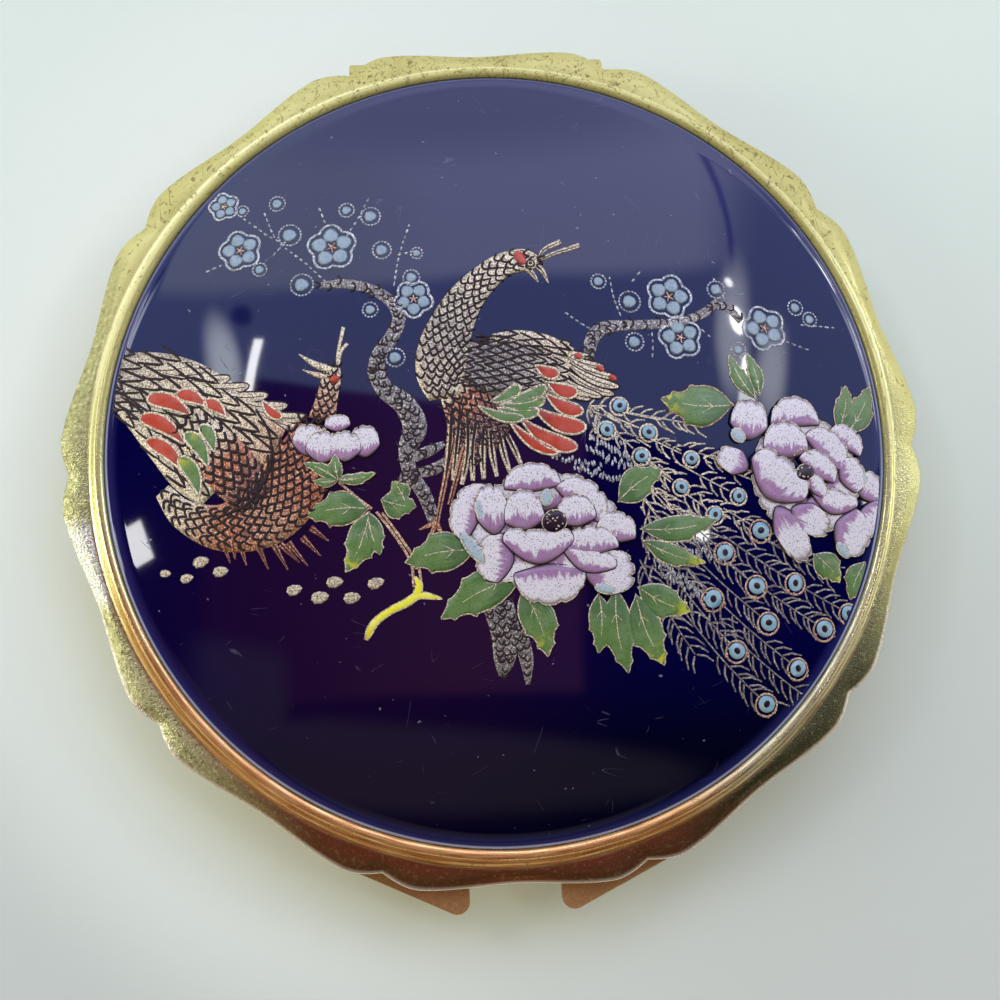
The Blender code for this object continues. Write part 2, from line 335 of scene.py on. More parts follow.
def run_tree(name, mesh, tree, **values):
    """Runs a geometry tree on a mesh and returns the result as a plain object."""
    holder = bpy.data.objects.new(f"{name}_plan", mesh)
    bpy.context.scene.collection.objects.link(holder)
    modifier = holder.modifiers.new("shape", "NODES")
    modifier.node_group = tree
    for item in tree.interface.items_tree:
        if item.in_out == "INPUT" and item.name in values:
            modifier[item.identifier] = values[item.name]
    bpy.context.view_layer.update()
    depsgraph = bpy.context.evaluated_depsgraph_get()
    shape = bpy.data.meshes.new_from_object(
        holder.evaluated_get(depsgraph), preserve_all_data_layers=True, depsgraph=depsgraph,
    )
    bpy.data.objects.remove(holder)
    shape.name = name
    shape.materials.clear()
    shape.materials.append(values["Finish"])
    shape.polygons.foreach_set("material_index", np.zeros(len(shape.polygons), np.int32))
    return link(name, shape)


def link(name, mesh):
    piece = bpy.data.objects.new(name, mesh)
    bpy.context.scene.collection.objects.link(piece)
    return piece


def link_shape(name, bm):
    mesh = bpy.data.meshes.new(name)
    bm.to_mesh(mesh)
    bm.free()
    return link(name, mesh)


def turn_out(piece):
    """Turns every face of a closed mesh outwards."""
    bm = bmesh.new()
    bm.from_mesh(piece.data)
    bmesh.ops.recalc_face_normals(bm, faces=bm.faces)
    bm.to_mesh(piece.data)
    bm.free()
    return piece


# Turned metalwork


def rounded(corners):
    """A closed section from (radius, height, fillet) corners in millimetres, with an arc of
    points at each corner that has a fillet."""
    outline = []
    count = len(corners)
    for i, (x, z, fillet) in enumerate(corners):
        here = Vector((x, z))
        if not fillet:
            outline.append(here)
            continue
        before = (Vector(corners[i - 1][:2]) - here).normalized()
        after = (Vector(corners[(i + 1) % count][:2]) - here).normalized()
        half = before.angle(after) / 2
        start, end = here + before * fillet, here + after * fillet
        middle = here + (before + after).normalized() * (fillet / math.cos(half))
        radius = fillet * math.tan(half)
        for k in range(ARC_POINTS):
            towards = start.lerp(end, k / (ARC_POINTS - 1)) - middle
            outline.append(middle + towards.normalized() * radius)
    return [(p.x, p.y) for p in outline]


def arc(centre, radii, start, end, count):
    """Points on part of an ellipse, with angles in degrees."""
    angles = [math.radians(start + (end - start) * i / (count - 1)) for i in range(count)]
    return [(centre[0] + radii[0] * math.cos(a), centre[1] + radii[1] * math.sin(a)) for a in angles]


def turned(name, section, finish, turns=PLAIN_TURNS, scalloped=False, inset=0.0):
    mesh = bpy.data.meshes.new(f"{name}_section")
    points = [(x * MM, 0, z * MM) for x, z in section]
    mesh.from_pydata(points, [(i, (i + 1) % len(points)) for i in range(len(points))], [])
    edge = SCALLOP_RADIUS - inset
    piece = run_tree(name, mesh, TURNING, **{
        "Points": len(points), "Turns": turns,
        "Bump rise": BUMP_RISE if scalloped else 0.0,
        "Cusp rise": CUSP_RISE if scalloped else 0.0,
        "Push start": edge - 1.35 * MM, "Push end": edge - 0.4 * MM, "Finish": finish,
    })
    return turn_out(piece)


def lid_section():
    """Seat, beaded edge, cove, sloping flange, rolled edge, and the plain inside."""
    top, low = FRAME_TOP / MM, LID_LOW.z / MM
    edge = SCALLOP_RADIUS / MM
    bead = arc((37.52, top - 0.36), (0.49, 0.36), 180, 0, 11)
    cove = arc((39.0, top - 0.45), (1.0, 2.3), 180, 262, 11)
    flange = arc((38.95, low + 0.95), (1.03, 0.9), 84, 40, 7)
    roll = arc((edge - 0.25, low + 0.95), (0.25, 0.25), 66, -10, 7)
    skirt = rounded([
        (edge, low + 0.7, 0), (edge, low, 0.15), (edge - 0.7, low, 0.1), (edge - 0.7, low + 0.5, 0.1),
        (38.3, low + 1.8, 0.1), (36.1, low + 2.3, 0.1), (36.1, low, 0.1), (35.4, low, 0.1),
        (35.4, low + 3.0, 0.2), (37.03, low + 3.0, 0),
    ])
    return [*bead, *cove, *flange, *roll, *skirt]


def pan_section():
    """A shallow bowl with a flat foot, and its flat scalloped rim."""
    foot, flare, depth, wall = 31.5, 6.1, 6.2, 0.8
    top = depth + wall
    edge = SCALLOP_RADIUS / MM - PAN_RIM_INSET / MM
    outside = arc((foot, depth), (flare, depth), -90, 0, 17)
    inside = arc((foot, depth), (flare - wall, depth - wall), 0, -90, 17)
    rim = rounded([
        (foot + flare, depth, 0), (edge, depth, 0.12), (edge, top, 0.18),
        (foot + flare - wall, top, 0.2), (foot + flare - wall, depth, 0),
    ])
    rings = [(r, 0.0) for r in (0.0, 12.0, 24.0)]
    well = [(r, wall) for r in (24.0, 12.0, 0.0)]
    return [*rings, *outside, *rim, *inside, *well]


def dome_height(radius):
    """Height of the glaze above the underside, in millimetres, at a radius in millimetres."""
    share = min(radius * MM / CAP_RADIUS, 1.0)
    return (FRAME_TOP + DOME_RISE * (1 - share**DOME_FULLNESS)) / MM


def dome_section():
    """The glazed cap, its rounded edge, and the hollow underneath."""
    cap, lip, wall = CAP_RADIUS / MM, 34.5, 2.2
    radius, seat = DOME_RADIUS / MM, DOME_LOW.z / MM
    top = [(cap * s / 40, dome_height(cap * s / 40)) for s in range(41)]
    edge = arc((cap, FRAME_TOP / MM - 0.6), (radius - cap, 0.6), 78, 0, 8)
    foot = rounded([(radius, seat + 0.4, 0), (radius, seat, 0.2), (lip, seat, 0.15), (lip, seat + 0.2, 0)])
    under = [(lip * s / 12, max(dome_height(lip * s / 12) - wall, seat + 0.3)) for s in range(12, -1, -1)]
    return [*top, *edge, *foot, *under]


def cutter(name, low, high):
    bm = bmesh.new()
    bmesh.ops.create_cube(bm, size=1.0)
    middle, size = (Vector(low) + Vector(high)) / 2, Vector(high) - Vector(low)
    bmesh.ops.transform(bm, matrix=Matrix.LocRotScale(middle, None, size), verts=bm.verts)
    return link_shape(name, bm)


def boolean(piece, tool, operation):
    modifier = piece.modifiers.new(operation.lower(), "BOOLEAN")
    modifier.operation = operation
    modifier.solver = "EXACT"
    modifier.object = tool
    bpy.context.view_layer.update()
    depsgraph = bpy.context.evaluated_depsgraph_get()
    shape = bpy.data.meshes.new_from_object(piece.evaluated_get(depsgraph))
    piece.modifiers.clear()
    piece.data = shape
    bpy.data.objects.remove(tool)


def soften(piece, degrees, finish):
    """Smooth faces with sharp edges where they meet at more than this, all in one finish."""
    piece.data.shade_smooth()
    piece.data.set_sharp_from_angle(angle=math.radians(degrees))
    piece.data.materials.clear()
    piece.data.materials.append(finish)
    return piece


def lay_on_hinge(piece):
    """Turns an upright piece along the hinge's axis."""
    piece.data.transform(Matrix.Rotation(math.radians(90), 4, "Y"))
    piece.data.transform(Matrix.Translation((0, HINGE.y, HINGE.z)))
    return piece


def wing(side):
    """One wing beside the thumb notch, from the outer bump straight to a rounded tip."""
    notch, tip_radius, reach, root = 4.4, 1.2, -PAN_LOW.y / MM, 38.6
    corner = math.radians(270 - 180 / LOBES - BUMP_ANGLE)
    bump = (SCALLOP_RADIUS + BUMP_RISE - PAN_RIM_INSET) / MM
    start = Vector((bump * math.cos(corner), bump * math.sin(corner)))
    centre = Vector((-notch - tip_radius, -reach + tip_radius))
    towards = start - centre
    tangent = math.degrees(math.atan2(towards.y, towards.x) + math.acos(tip_radius / towards.length))
    tip = arc(centre, (tip_radius, tip_radius), tangent, 360, 14)
    back = (root * math.cos(corner), root * math.sin(corner))
    outline = [tuple(start), *tip, (-notch, -root), back]
    low, high = PAN_HIGH.z - 0.74 * MM, PAN_HIGH.z - 0.03 * MM
    bm = bmesh.new()
    rings = [[bm.verts.new((side * x * MM, y * MM, z)) for x, y in outline] for z in (low, high)]
    for i in range(len(outline)):
        j = (i + 1) % len(outline)
        bm.faces.new((rings[0][i], rings[0][j], rings[1][j], rings[1][i]))
    bm.faces.new(rings[0])
    bm.faces.new(rings[1])
    bmesh.ops.recalc_face_normals(bm, faces=bm.faces)
    return link_shape("wing", bm)


def make_pan(finish):
    pan = turned("gilt_pan", pan_section(), finish, PLAIN_TURNS, True, PAN_RIM_INSET)
    for side in (-1, 1):
        boolean(pan, wing(side), "UNION")
    notch, floor, past = 4.4 * MM, 38.9 * MM, 60 * MM
    boolean(pan, cutter("notch", (-notch, -past, 3.1 * MM), (notch, -floor, 14 * MM)), "DIFFERENCE")
    half = PIN_HIGH.x + 0.6 * MM
    slot = HINGE.y - 1.6 * MM
    boolean(pan, cutter("slot", (-half, slot, 3.1 * MM), (half, past, 14 * MM)), "DIFFERENCE")
    return soften(pan, 35, finish)


def barrel(name, x_start, x_end, web, finish):
    """One hinge knuckle: a tube with softened ends, and the web that ties it to its leaf."""
    outer, bore = (KNUCKLE_HIGH.z - KNUCKLE_LOW.z) / 2 / MM, 0.7
    start, end = x_start / MM, x_end / MM
    section = rounded([(bore, start, 0.08), (outer, start, 0.2), (outer, end, 0.2), (bore, end, 0.08)])
    tube = lay_on_hinge(turned(name, section, finish, 64))
    boolean(tube, cutter("web", *web), "UNION")
    return soften(tube, 40, finish)


def make_hinge(finish):
    for name in ("left", "right"):
        low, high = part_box(f"pan_knuckle_{name}")
        web = ((low.x, low.y, HINGE.z - 0.55 * MM), (high.x, HINGE.y - 0.77 * MM, HINGE.z + 0.55 * MM))
        piece = barrel(f"gilt_knuckle_{name}", low.x, high.x, web, finish)
        place(piece, "pan", "gilt_brass", f"pan_knuckle_{name}")
    low, high = LID_KNUCKLE_LOW, LID_KNUCKLE_HIGH
    web = ((low.x, HINGE.y - 0.55 * MM, HINGE.z + 1.05 * MM), (high.x, HINGE.y + 0.25 * MM, high.z))
    place(barrel("gilt_knuckle_lid", low.x, high.x, web, finish), "lid", "gilt_brass", "lid_knuckle")
    radius, half = (PIN_HIGH.z - PIN_LOW.z) / 2 / MM, PIN_HIGH.x / MM
    section = [(0, -half), *rounded([(radius, -half, 0.2), (radius, half, 0.2)]), (0, half)]
    place(lay_on_hinge(turned("gilt_pin", section, finish, 48)), "pan", "gilt_brass", "hinge_pin")


def make_mirror(gilt, silver):
    wall, lip = RING_HIGH.x / MM, GLASS_HIGH.x / MM + 0.3
    window = GLASS_HIGH.x / MM - 1.4
    low, high = RING_LOW.z / MM, RING_HIGH.z / MM
    ring = rounded([
        (window, low, 0.15), (wall, low, 0.15), (wall, high, 0.1), (lip, high, 0.1),
        (lip, low + 0.6, 0.05), (window, low + 0.6, 0.15),
    ])
    place(turned("gilt_mirror_ring", ring, gilt), "lid", "gilt_brass", "mirror_ring")
    radius, under, over = GLASS_HIGH.x / MM, GLASS_LOW.z / MM, GLASS_HIGH.z / MM
    glass = [
        *((radius * s, under) for s in (0.0, 0.4, 0.8, 0.97)),
        *rounded([(radius, under, 0.25), (radius, over, 0.25)]),
        *((radius * s, over) for s in (0.97, 0.8, 0.4, 0.0)),
    ]
    place(turned("silvered_mirror", glass, silver), "lid", "mirror_glass", "mirror")


def place(piece, body, slot, *nodes):
    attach(piece, body)
    if nodes:
        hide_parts(*nodes)
    return piece


# Drawing tools


def flow(stations, step):
    """Even steps of about this length along a smooth line through the stations. A station is
    (x, y) and any further values, which are blended along the line too."""
    p = np.array(stations, float)
    p = np.vstack([2 * p[0] - p[1], p, 2 * p[-1] - p[-2]])
    t = np.linspace(0, 1, 20, endpoint=False)[:, None]
    runs = [
        (2 * b + (c - a) * t + (2 * a - 5 * b + 4 * c - d) * t**2 + (3 * b - a - 3 * c + d) * t**3) / 2
        for a, b, c, d in zip(p, p[1:], p[2:], p[3:])
    ]
    fine = np.vstack([*runs, p[-2]])
    along = np.concatenate([[0], np.cumsum(np.hypot(*np.diff(fine[:, :2], axis=0).T))])
    even = np.linspace(0, along[-1], max(2, round(along[-1] / step) + 1))
    return np.column_stack([np.interp(even, along, column) for column in fine.T])


def headings(line):
    """The direction of a line at each of its points."""
    way = np.gradient(line[:, :2], axis=0)
    return np.arctan2(way[:, 1], way[:, 0])


def toward(angle, distance=1.0):
    return np.array((math.cos(angle), math.sin(angle))) * distance


def span(base, tip):
    """A stroke's two ends, its length and its direction."""
    base, tip = np.array(base), np.array(tip)
    return base, tip, np.hypot(*(tip - base)), math.atan2(*(tip - base)[::-1])


def plan(name, points, edges=(), faces=(), **values):
    """A mesh of places in millimetres, with values that each point carries."""
    mesh = bpy.data.meshes.new(name)
    mesh.from_pydata((np.asarray(points, float) * MM).tolist(), list(edges), list(faces))
    for label, column in values.items():
        column = np.asarray(column, np.float32)
        vector = column.ndim == 2
        layer = mesh.attributes.new(label, "FLOAT_VECTOR" if vector else "FLOAT", "POINT")
        layer.data.foreach_set("vector" if vector else "value", column.ravel())
    return mesh


class Strokes:
    """Lines of the pen, with their own width, colour and lift."""

    def __init__(self):
        self.rows, self.edges = [], []

    def draw(self, line, width, tint=0.5, lift=0.0, ends=(1.0, 1.0), closed=False):
        start, count = len(self.rows), len(line)
        swell = np.interp(np.linspace(0, 1, count), (0, 0.5, 1), (ends[0], 1, ends[1]))
        self.rows += [(p[0], p[1], width * s, tint, lift) for p, s in zip(line, swell)]
        self.edges += [(start + i, start + i + 1) for i in range(count - 1)]
        if closed:
            self.edges.append((start + count - 1, start))

    def ring(self, x, y, radius, width, tint=0.5, lift=0.0, lobes=0, turn=0.0, count=24):
        angles = np.linspace(0, 2 * math.pi, count, endpoint=False)
        reach = radius * (1 - 0.22 * (1 - abs(np.cos(lobes / 2 * (angles - turn)))) * (lobes > 0))
        line = np.column_stack([x + reach * np.cos(angles), y + reach * np.sin(angles)])
        self.draw(line, width, tint, lift, closed=True)

    def laid(self, name, finish):
        rows = np.array(self.rows)
        points = np.column_stack([rows[:, :2], np.zeros(len(rows))])
        mesh = plan(
            name, points, self.edges, width=rows[:, 2] * MM, tint=rows[:, 3], lift=rows[:, 4] * MM,
        )
        return turn_out(run_tree(name, mesh, STROKING, Finish=finish))


class Dabs:
    """Single touches of the brush: low lenses with their own size, turn, colour and lift."""

    def __init__(self):
        self.rows = []

    def dab(self, x, y, length, width, turn=0.0, tint=0.5, lift=0.0, thick=0.09):
        self.rows.append((x, y, length, width, thick, turn, tint, lift))

    def laid(self, name, finish, sides=8, taper=0.25):
        rows = np.array(self.rows)
        points = np.column_stack([rows[:, :2], rows[:, 7]])
        mesh = plan(name, points, size=rows[:, 2:5] * MM, turn=rows[:, 5], tint=rows[:, 6])
        values = {"Sides": sides, "Taper": taper, "Finish": finish}
        return turn_out(run_tree(name, mesh, DABBING, **values))


class Patches:
    """Areas of enamel. Each is a grid of places whose rows run from its base to its rim, and it
    swells a little above the glaze and goes down into it all round."""

    def __init__(self):
        self.points, self.faces, self.grain, self.tints = [], [], [], []

    def fill(self, grid, lift, puff, seed, tint=0.5):
        rows, columns, _ = grid.shape
        start = len(self.points)
        v, u = np.meshgrid(np.linspace(0, 1, rows), np.linspace(-1, 1, columns), indexing="ij")
        swell = lift + puff * (1 - u**4) * (4 * v * (1 - v)) ** 0.6
        top = np.column_stack([grid.reshape(-1, 2), swell.ravel()])
        self.points += top.tolist()
        self.grain += np.column_stack([u.ravel(), v.ravel(), np.full(u.size, seed)]).tolist()
        self.tints += (v * 0 + np.reshape(tint, (-1, 1))).ravel().tolist()
        at = lambda row, column: start + row * columns + column
        for i in range(rows - 1):
            for j in range(columns - 1):
                self.faces.append((at(i, j), at(i, j + 1), at(i + 1, j + 1), at(i + 1, j)))
        rim = edge_of(rows, columns)
        below = len(self.points)
        for k in rim:
            self.points.append((*top[k][:2], -0.04))
            self.grain.append(self.grain[start + k])
            self.tints.append(self.tints[start + k])
        count = len(rim)
        for i, k in enumerate(rim):
            j = (i + 1) % count
            self.faces.append((start + k, below + i, below + j, start + rim[j]))
        self.faces.append(tuple(below + i for i in range(count - 1, -1, -1)))

    def laid(self, name, finish):
        mesh = plan(name, self.points, faces=self.faces, grain=self.grain, tint=self.tints)
        return turn_out(run_tree(name, mesh, PATCHING, Finish=finish))


def edge_of(rows, columns):
    """The indices round the edge of a grid, in order."""
    top = [(0, j) for j in range(columns)]
    right = [(i, columns - 1) for i in range(1, rows)]
    bottom = [(rows - 1, j) for j in range(columns - 2, -1, -1)]
    left = [(i, 0) for i in range(rows - 2, 0, -1)]
    return [i * columns + j for i, j in (*top, *right, *bottom, *left)]


def outline(grid):
    """The edge of a grid of places as a closed line of even steps."""
    rows, columns, _ = grid.shape
    line = grid.reshape(-1, 2)[edge_of(rows, columns)]
    line = np.vstack([line, line[:1]])
    along = np.concatenate([[0], np.cumsum(np.hypot(*np.diff(line, axis=0).T))])
    even = np.linspace(0, along[-1], max(12, round(along[-1] / 0.3)), endpoint=False)
    return np.column_stack([np.interp(even, along, column) for column in line.T])


gold, umber = Strokes(), Strokes()
scales, ticks, sky_dabs = Dabs(), Dabs(), Dabs()
grounds, petals, leaves, bits, eyes, scarlet, yellow, hearts = (Patches() for _ in range(8))
chance = random.Random(19)


# The picture


def petal(base, tip, breadth, lift, bend):
    """A cupped petal with a ruffled rim. Its base and tip are places, and breadth runs across."""
    base, tip, reach, _ = span(base, tip)
    up = (tip - base) / reach
    side = np.array((up[1], -up[0]))
    a = np.sin(np.radians(np.linspace(-88, 88, 25)))
    lobes, phase = chance.choice((3, 3.5, 4)), chance.uniform(-0.12, 0.12)
    body = (1 - abs(a) ** 2.6) ** 0.42
    notch = (1 - abs(np.cos(lobes * math.pi / 2 * (a + phase)))) ** 3
    low = reach * 0.34 * abs(a) ** 1.7
    high = reach * (0.34 + 0.66 * body - 0.13 * notch * (1 - a**4) * (reach > 1.5))
    grid = np.zeros((7, len(a), 2))
    for row, t in enumerate(np.linspace(0, 1, 7)):
        forward = low * (1 - t) + high * t + bend * a * a
        grid[row] = base + np.outer(a * breadth * 0.55, side) + np.outer(forward, up)
    petals.fill(grid, lift, 0.05, chance.uniform(0, 50))
    umber.draw(outline(grid), 0.15, 0.3, lift - 0.01, closed=True)
    rim = grid[-1][3:-3]
    gold.draw(rim, 0.12, 0.3, lift + 0.005)


def blot(patches, x, y, length, width, turn, lift, puff=0.06, edge=0.14):
    """A rounded bit of enamel with a gold edge."""
    a = np.sin(np.radians(np.linspace(-86, 86, 11)))
    along, across = toward(turn), toward(turn + math.pi / 2)
    half = np.sqrt(1 - a * a) * width / 2
    grid = np.array([
        (x, y) + np.outer(a * length / 2, along) + np.outer(half * t, across)
        for t in np.linspace(-1, 1, 5)
    ])
    patches.fill(grid, lift, puff, chance.uniform(0, 50))
    if edge:
        gold.draw(outline(grid), edge, 0.4, lift, closed=True)


LEAF_EDGE = (
    (0, 0.06), (0.06, 0.3), (0.16, 0.62), (0.3, 0.9), (0.42, 1.0), (0.52, 0.96), (0.6, 0.9), (0.63, 1.02),
    (0.68, 0.68), (0.78, 0.5), (0.83, 0.46), (0.86, 0.54), (0.89, 0.3), (0.96, 0.12), (1, 0.02),
)


def leaf(base, tip, breadth, lift):
    """A toothed leaf with its veins drawn in gold."""
    base, tip, reach, turn = span(base, tip)
    up, side = toward(turn), toward(turn - math.pi / 2)
    curve = chance.choice((-1, 1)) * 0.06 * reach
    share, width = np.array(LEAF_EDGE).T
    v = np.unique(np.concatenate([share, np.linspace(0, 1, 13)]))
    left = np.interp(v, share, width)
    right = np.interp(v + 0.05 * np.sin(3 * v), share, width)
    grid = np.zeros((len(v), 9, 2))
    for row, s in enumerate(v):
        spine = base + up * reach * s + side * curve * math.sin(math.pi * s)
        for column, u in enumerate(np.linspace(-1, 1, 9)):
            half = (left if u < 0 else right)[row] * breadth / 2
            grid[row, column] = spine + side * half * u + up * reach * 0.05 * abs(u) * (1 - s)
    leaves.fill(grid, lift, 0.09, chance.uniform(0, 50))
    gold.draw(outline(grid), 0.13, 0.55 + chance.uniform(-0.2, 0.2), lift, closed=True)
    rib = np.array([
        base + up * reach * s + side * curve * math.sin(math.pi * s) for s in (0.08, 0.3, 0.55, 0.72)
    ])
    gold.draw(rib, 0.1, 0.5, lift + 0.09, ends=(1, 0.5))
    for way in (-0.6, 0.6):
        vein = [rib[1], rib[1] + toward(turn + way, breadth * 0.3)]
        gold.draw(vein, 0.08, 0.5, lift + 0.085, ends=(1, 0.4))


def feather(patches, base, tip, breadth, lift, tint):
    """A wing feather, rounded at its tip: enamel edged with gold, or gold edged with umber."""
    base, tip, reach, turn = span(base, tip)
    side = toward(turn - math.pi / 2)
    v = 0.5 - 0.5 * np.cos(np.linspace(0.05, math.pi - 0.05, 13))
    half = breadth / 2 * (1 - (1 - v) ** 2.2) * np.sqrt(1 - v**5) + 0.02
    spine = base + np.outer(v, tip - base) + np.outer(0.09 * reach * np.sin(math.pi * v), side)
    grid = np.stack([spine + np.outer(half * u, side) for u in np.linspace(-1, 1, 7)], axis=1)
    patches.fill(grid, lift, 0.04, chance.uniform(0, 50), tint)
    umber.draw(outline(grid), 0.22, 0.4, lift - 0.015, closed=True)
    if patches is grounds:
        umber.draw(spine[3:11], 0.1, 0.4, lift + 0.045, ends=(0.6, 0.6))
        umber.draw(outline(grid), 0.15, 0.4, lift + 0.01, closed=True)
    else:
        gold.draw(outline(grid), 0.24, tint, lift + 0.005, closed=True)


def ribbon(stations, step=0.45, columns=5):
    """A strip of places through stations of (x, y, width), with the line it follows."""
    line = flow(stations, step)
    turns = headings(line)
    side = np.column_stack([-np.sin(turns), np.cos(turns)])
    across = np.linspace(-1, 1, columns)
    return line, np.stack([line[:, :2] + side * (line[:, 2:3] / 2 * u) for u in across], axis=1)


def plumage(stations, length, pitch, lift, lag=0.45, point=2.0, depth=0.62, wander=0.05, pen=0.24):
    """A gold strip through stations of (x, y, width, tint), with rows of scale feathers drawn on
    it as umber arcs. Point is 2 for round feathers and nearer 1 for pointed ones."""
    line, grid = ribbon(stations, 0.5, 7)
    grounds.fill(grid, lift, 0.03, chance.uniform(0, 50), line[:, 3])
    rows = flow(stations, length * 0.74)
    reach = np.array((-1, -0.7, -0.35, 0, 0.35, 0.7, 1))
    for row, ((x, y, strip, _), turn) in enumerate(zip(rows, headings(rows))):
        count = max(1, round(strip / pitch))
        size = strip / count
        along, across = toward(turn), toward(turn + math.pi / 2)
        for k in range(count - row % 2):
            off = (k - (count - 1 - row % 2) / 2) * size + chance.uniform(-wander, wander)
            back = lag * length * (2 * off / max(strip, 1)) ** 2 + chance.uniform(-wander, wander)
            forward = -back - depth * length * abs(reach) ** point
            arc_line = (x, y) + np.outer(forward, along) + np.outer(off + reach * size * 0.52, across)
            umber.draw(arc_line, pen * chance.uniform(0.85, 1.15), 0.4, lift + 0.03, ends=(0.7, 0.7))


def plume(start, end, width, tint):
    """A long soft feather of gold with an umber line down its middle."""
    start, end, _, turn = span(start, end)
    sway = (start + end) / 2 + toward(turn + 1.57, chance.uniform(-0.25, 0.25))
    line = flow([start, sway, end], 0.4)
    gold.draw(line, width, tint, 0.0, ends=(0.8, 0.55))
    umber.draw(line[:-2], width * 0.36, 0.4, width * 0.14, ends=(1.2, 0.4))


